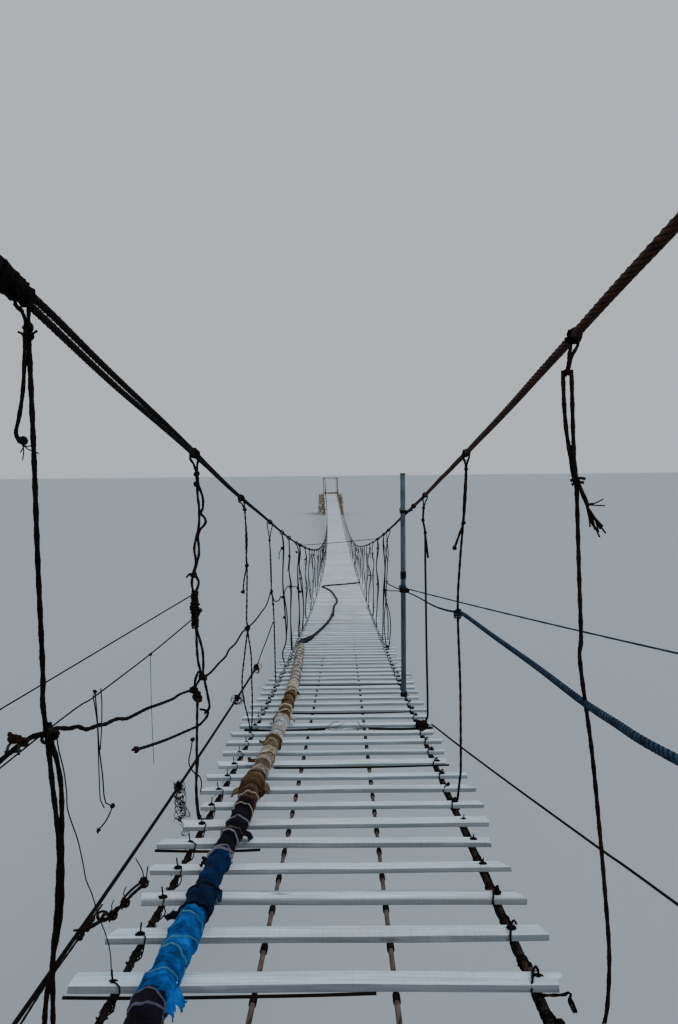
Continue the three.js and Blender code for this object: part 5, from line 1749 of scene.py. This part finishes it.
far_wall = Piece("far_rubble_wall", "masonry", replaces=("far_abutment",))
core(far_wall, BLOCK_HALF, SPAN, 0.0, FAR_TOP)
far = grown(BLOCK_HALF, FAR_TOP)
for at, outward, seed in ((SPAN, -1, 61), (SPAN + WALL_DEPTH, 1, 62)):
    face_of_stones(far_wall, 1, at, outward, 0, FAR_TOP, lambda z: (-far(z), far(z), 0), seed)
for side in (-1, 1):
    face_of_stones(far_wall, 0, side * BLOCK_HALF, side, 0, FAR_TOP,
                   lambda z: (SPAN, SPAN + WALL_DEPTH, far(z) - BLOCK_HALF), 65 + side)
paving(far_wall, -BLOCK_HALF, BLOCK_HALF, SPAN, FAR_TOP, 70)
far_wall.build()


# Timber posts and beams with their lashings
POST_X = 0.67
POST_HALF = 6.5 / 120
POST_GAP = 0.0025
BEAM_HALF = 0.75
BEAM_THICK = 5.5 / 120
BEAM_TOP = SADDLE_H + RAISE - LEFT_HAND - 0.0025
WORN_EDGE = 0.16
SQUARENESS = 0.35 * 1.4
X, Y, Z = np.eye(3)


def timber(piece, start, end, half_wide, half_high, up_way, seed):
    """An uneven squared timber between two points in spacings of the shared frame."""
    g = np.random.default_rng(seed)
    start, end = np.asarray(start, float), np.asarray(end, float)
    long = np.linalg.norm(end - start)
    along = (end - start) / long
    side_way = np.cross(along, up_way)
    t = np.linspace(0, long, max(6, int(long / 0.06)))
    e = WORN_EDGE
    section = np.array(((1, 1 - e), (1 - e, 1), (0, 1.0), (-1 + e, 1), (-1, 1 - e), (-1, 0), (-1, -1 + e),
                        (-1 + e, -1), (0, -1.0), (1 - e, -1), (1, -1 + e), (1, 0)))
    worn = 0.04 * np.abs(waves(t, seed, (2, 5, 13)))[:, None]
    rough = 1 - 0.05 * g.uniform(0, 1, (len(t), len(section))) - worn
    rough[[0, -1]] *= 0.93
    p = (start + t[:, None] * along)[:, None, :] + rough[..., None] * (
        section[None, :, 0, None] * half_wide * side_way + section[None, :, 1, None] * half_high * up_way)
    u = (t + 9 * uneven(seed)) * S
    v = (perimeter(section * (half_wide, half_high)) + seed) * S
    cap = np.zeros((len(section), 3, 2))
    cap[:, 1:] = (0.001, 0.006)
    ends = (np.vstack((start, end)) - MIDDLE) * S
    prism(piece, (p - MIDDLE) * S, ends, u, v, cap, (0.9 + 0.2 * uneven(seed + 5),) * 3)


def hoop(piece, centre, across_way, up_way, half_wide, half_high, radius, turns, pitch):
    """Wire wound square round a timber; centre is in spacings of the shared frame."""
    a = np.linspace(0, 2 * np.pi * turns, int(24 * turns) + 1)
    x, y = (np.sign(v) * np.abs(v) ** SQUARENESS for v in (np.cos(a), np.sin(a)))
    path = (np.asarray(centre) + (x * (half_wide + radius))[:, None] * across_way
            + (y * (half_high + radius))[:, None] * up_way
            + (pitch * (a / (2 * np.pi) - turns / 2))[:, None] * np.cross(across_way, up_way))
    tube(piece, (path - MIDDLE) * S, radius * S, 5, tint=DARK)


def portal_timbers(word, frame_y, anchor_y, base, beam_z, anchor_z, seed):
    """Two posts, their cross beam and the anchor beam behind them."""
    timbers = Piece(word + "_timbers", "timber", replaces=tuple(
        f"{word}_{name}" for name in ("left_post", "right_post", "cross_beam", "anchor_beam")))
    for side in (-1, 1):
        x = side * POST_X
        timber(timbers, (x, frame_y, base), (x, frame_y, beam_z - BEAM_THICK - 0.002), POST_HALF, POST_HALF,
            Y, seed + side)
    for y, z, half, own in ((frame_y, beam_z, BEAM_THICK, 3), (anchor_y, anchor_z, ANCHOR_HALF, 4)):
        timber(timbers, (-BEAM_HALF, y, z), (BEAM_HALF, y, z), half, half, Z, seed + own)
    timbers.build()


def portal_lashings(word, frame_y, anchor_y, beam_z, anchor_z, way):
    """Wire round the anchor beam at each cable, and round posts and cross beam where they meet."""
    ropes = Piece(word + "_lashings", "dark_wire")
    for x, radius in (
            (-0.53, 0.0072), (0.53, 0.0115), (-0.5, 0.0095), (0.5, 0.011), (-1 / 6, 0.0068), (1 / 6, 0.0068)):
        hoop(ropes, (x, anchor_y, anchor_z), Y, Z, ANCHOR_HALF, ANCHOR_HALF, 0.8 * radius, 3, 0.02)
        knot(ropes, (x, anchor_y - way * (ANCHOR_HALF + 0.03), 0.012), 0.028, 0.006, int(x * 100) + 900,
            DARK, 4)
    for side in (-1, 1):
        x = side * POST_X
        for pitch in (-0.012, 0.012):
            hoop(ropes, (x, frame_y, beam_z), X, Z, POST_HALF, BEAM_THICK + 0.03, 0.0052, 3, pitch)
        hoop(ropes, (x, frame_y, beam_z - BEAM_THICK - 0.03), X, Y, POST_HALF, POST_HALF, 0.0052, 5, 0.011)
        hoop(ropes, (side * HAND_X, frame_y, beam_z + 0.005), Y, Z, BEAM_THICK, BEAM_THICK + 0.022, 0.0045,
            4, 0.011)
    ropes.build()


for word, end_y, way, top, deck_z in (("near", 0.0, -1, NEAR_TOP, NEAR_Z), ("far", SPAN, 1, FAR_TOP, FAR_Z)):
    frame_y, anchor_y = end_y + way * 0.5, end_y + way * ANCHOR_Y
    base = top + POST_GAP
    beam_z, anchor_z = deck_z + BEAM_TOP - BEAM_THICK, base + ANCHOR_HALF
    portal_timbers(word, frame_y, anchor_y, base, beam_z, anchor_z, 800 + 10 * way)
    portal_lashings(word, frame_y, anchor_y, beam_z, anchor_z, way)


# Room
FLOOR = 60
floor = bpy.data.meshes.new("floor")
floor.from_pydata([(x * FLOOR, y * FLOOR, -0.001) for x, y in ((-1, -1), (1, -1), (1, 1), (-1, 1))], [],
    [(0, 1, 2, 3)])
floor_object = bpy.data.objects.new("floor", floor)
bpy.context.scene.collection.objects.link(floor_object)
ground = Paint("plain_floor", 0.9)
ground.put(ground.shader, "Base Color", (0.36, 0.4, 0.43, 1))
floor.materials.append(ground.material)
world = bpy.data.worlds.new("world")
bpy.context.scene.world = world
world.use_nodes = True
sky = world.node_tree.nodes["Background"].inputs
sky[0].default_value = (0.72, 0.78, 0.84, 1)
sky[1].default_value = 0.75
sun = bpy.data.lights.new("sun", "SUN")
sun.energy = 1.4
sun.angle = 0.6
sun_object = bpy.data.objects.new("sun", sun)
sun_object.rotation_euler = (0.7, 0.25, 0.4)
bpy.context.scene.collection.objects.link(sun_object)
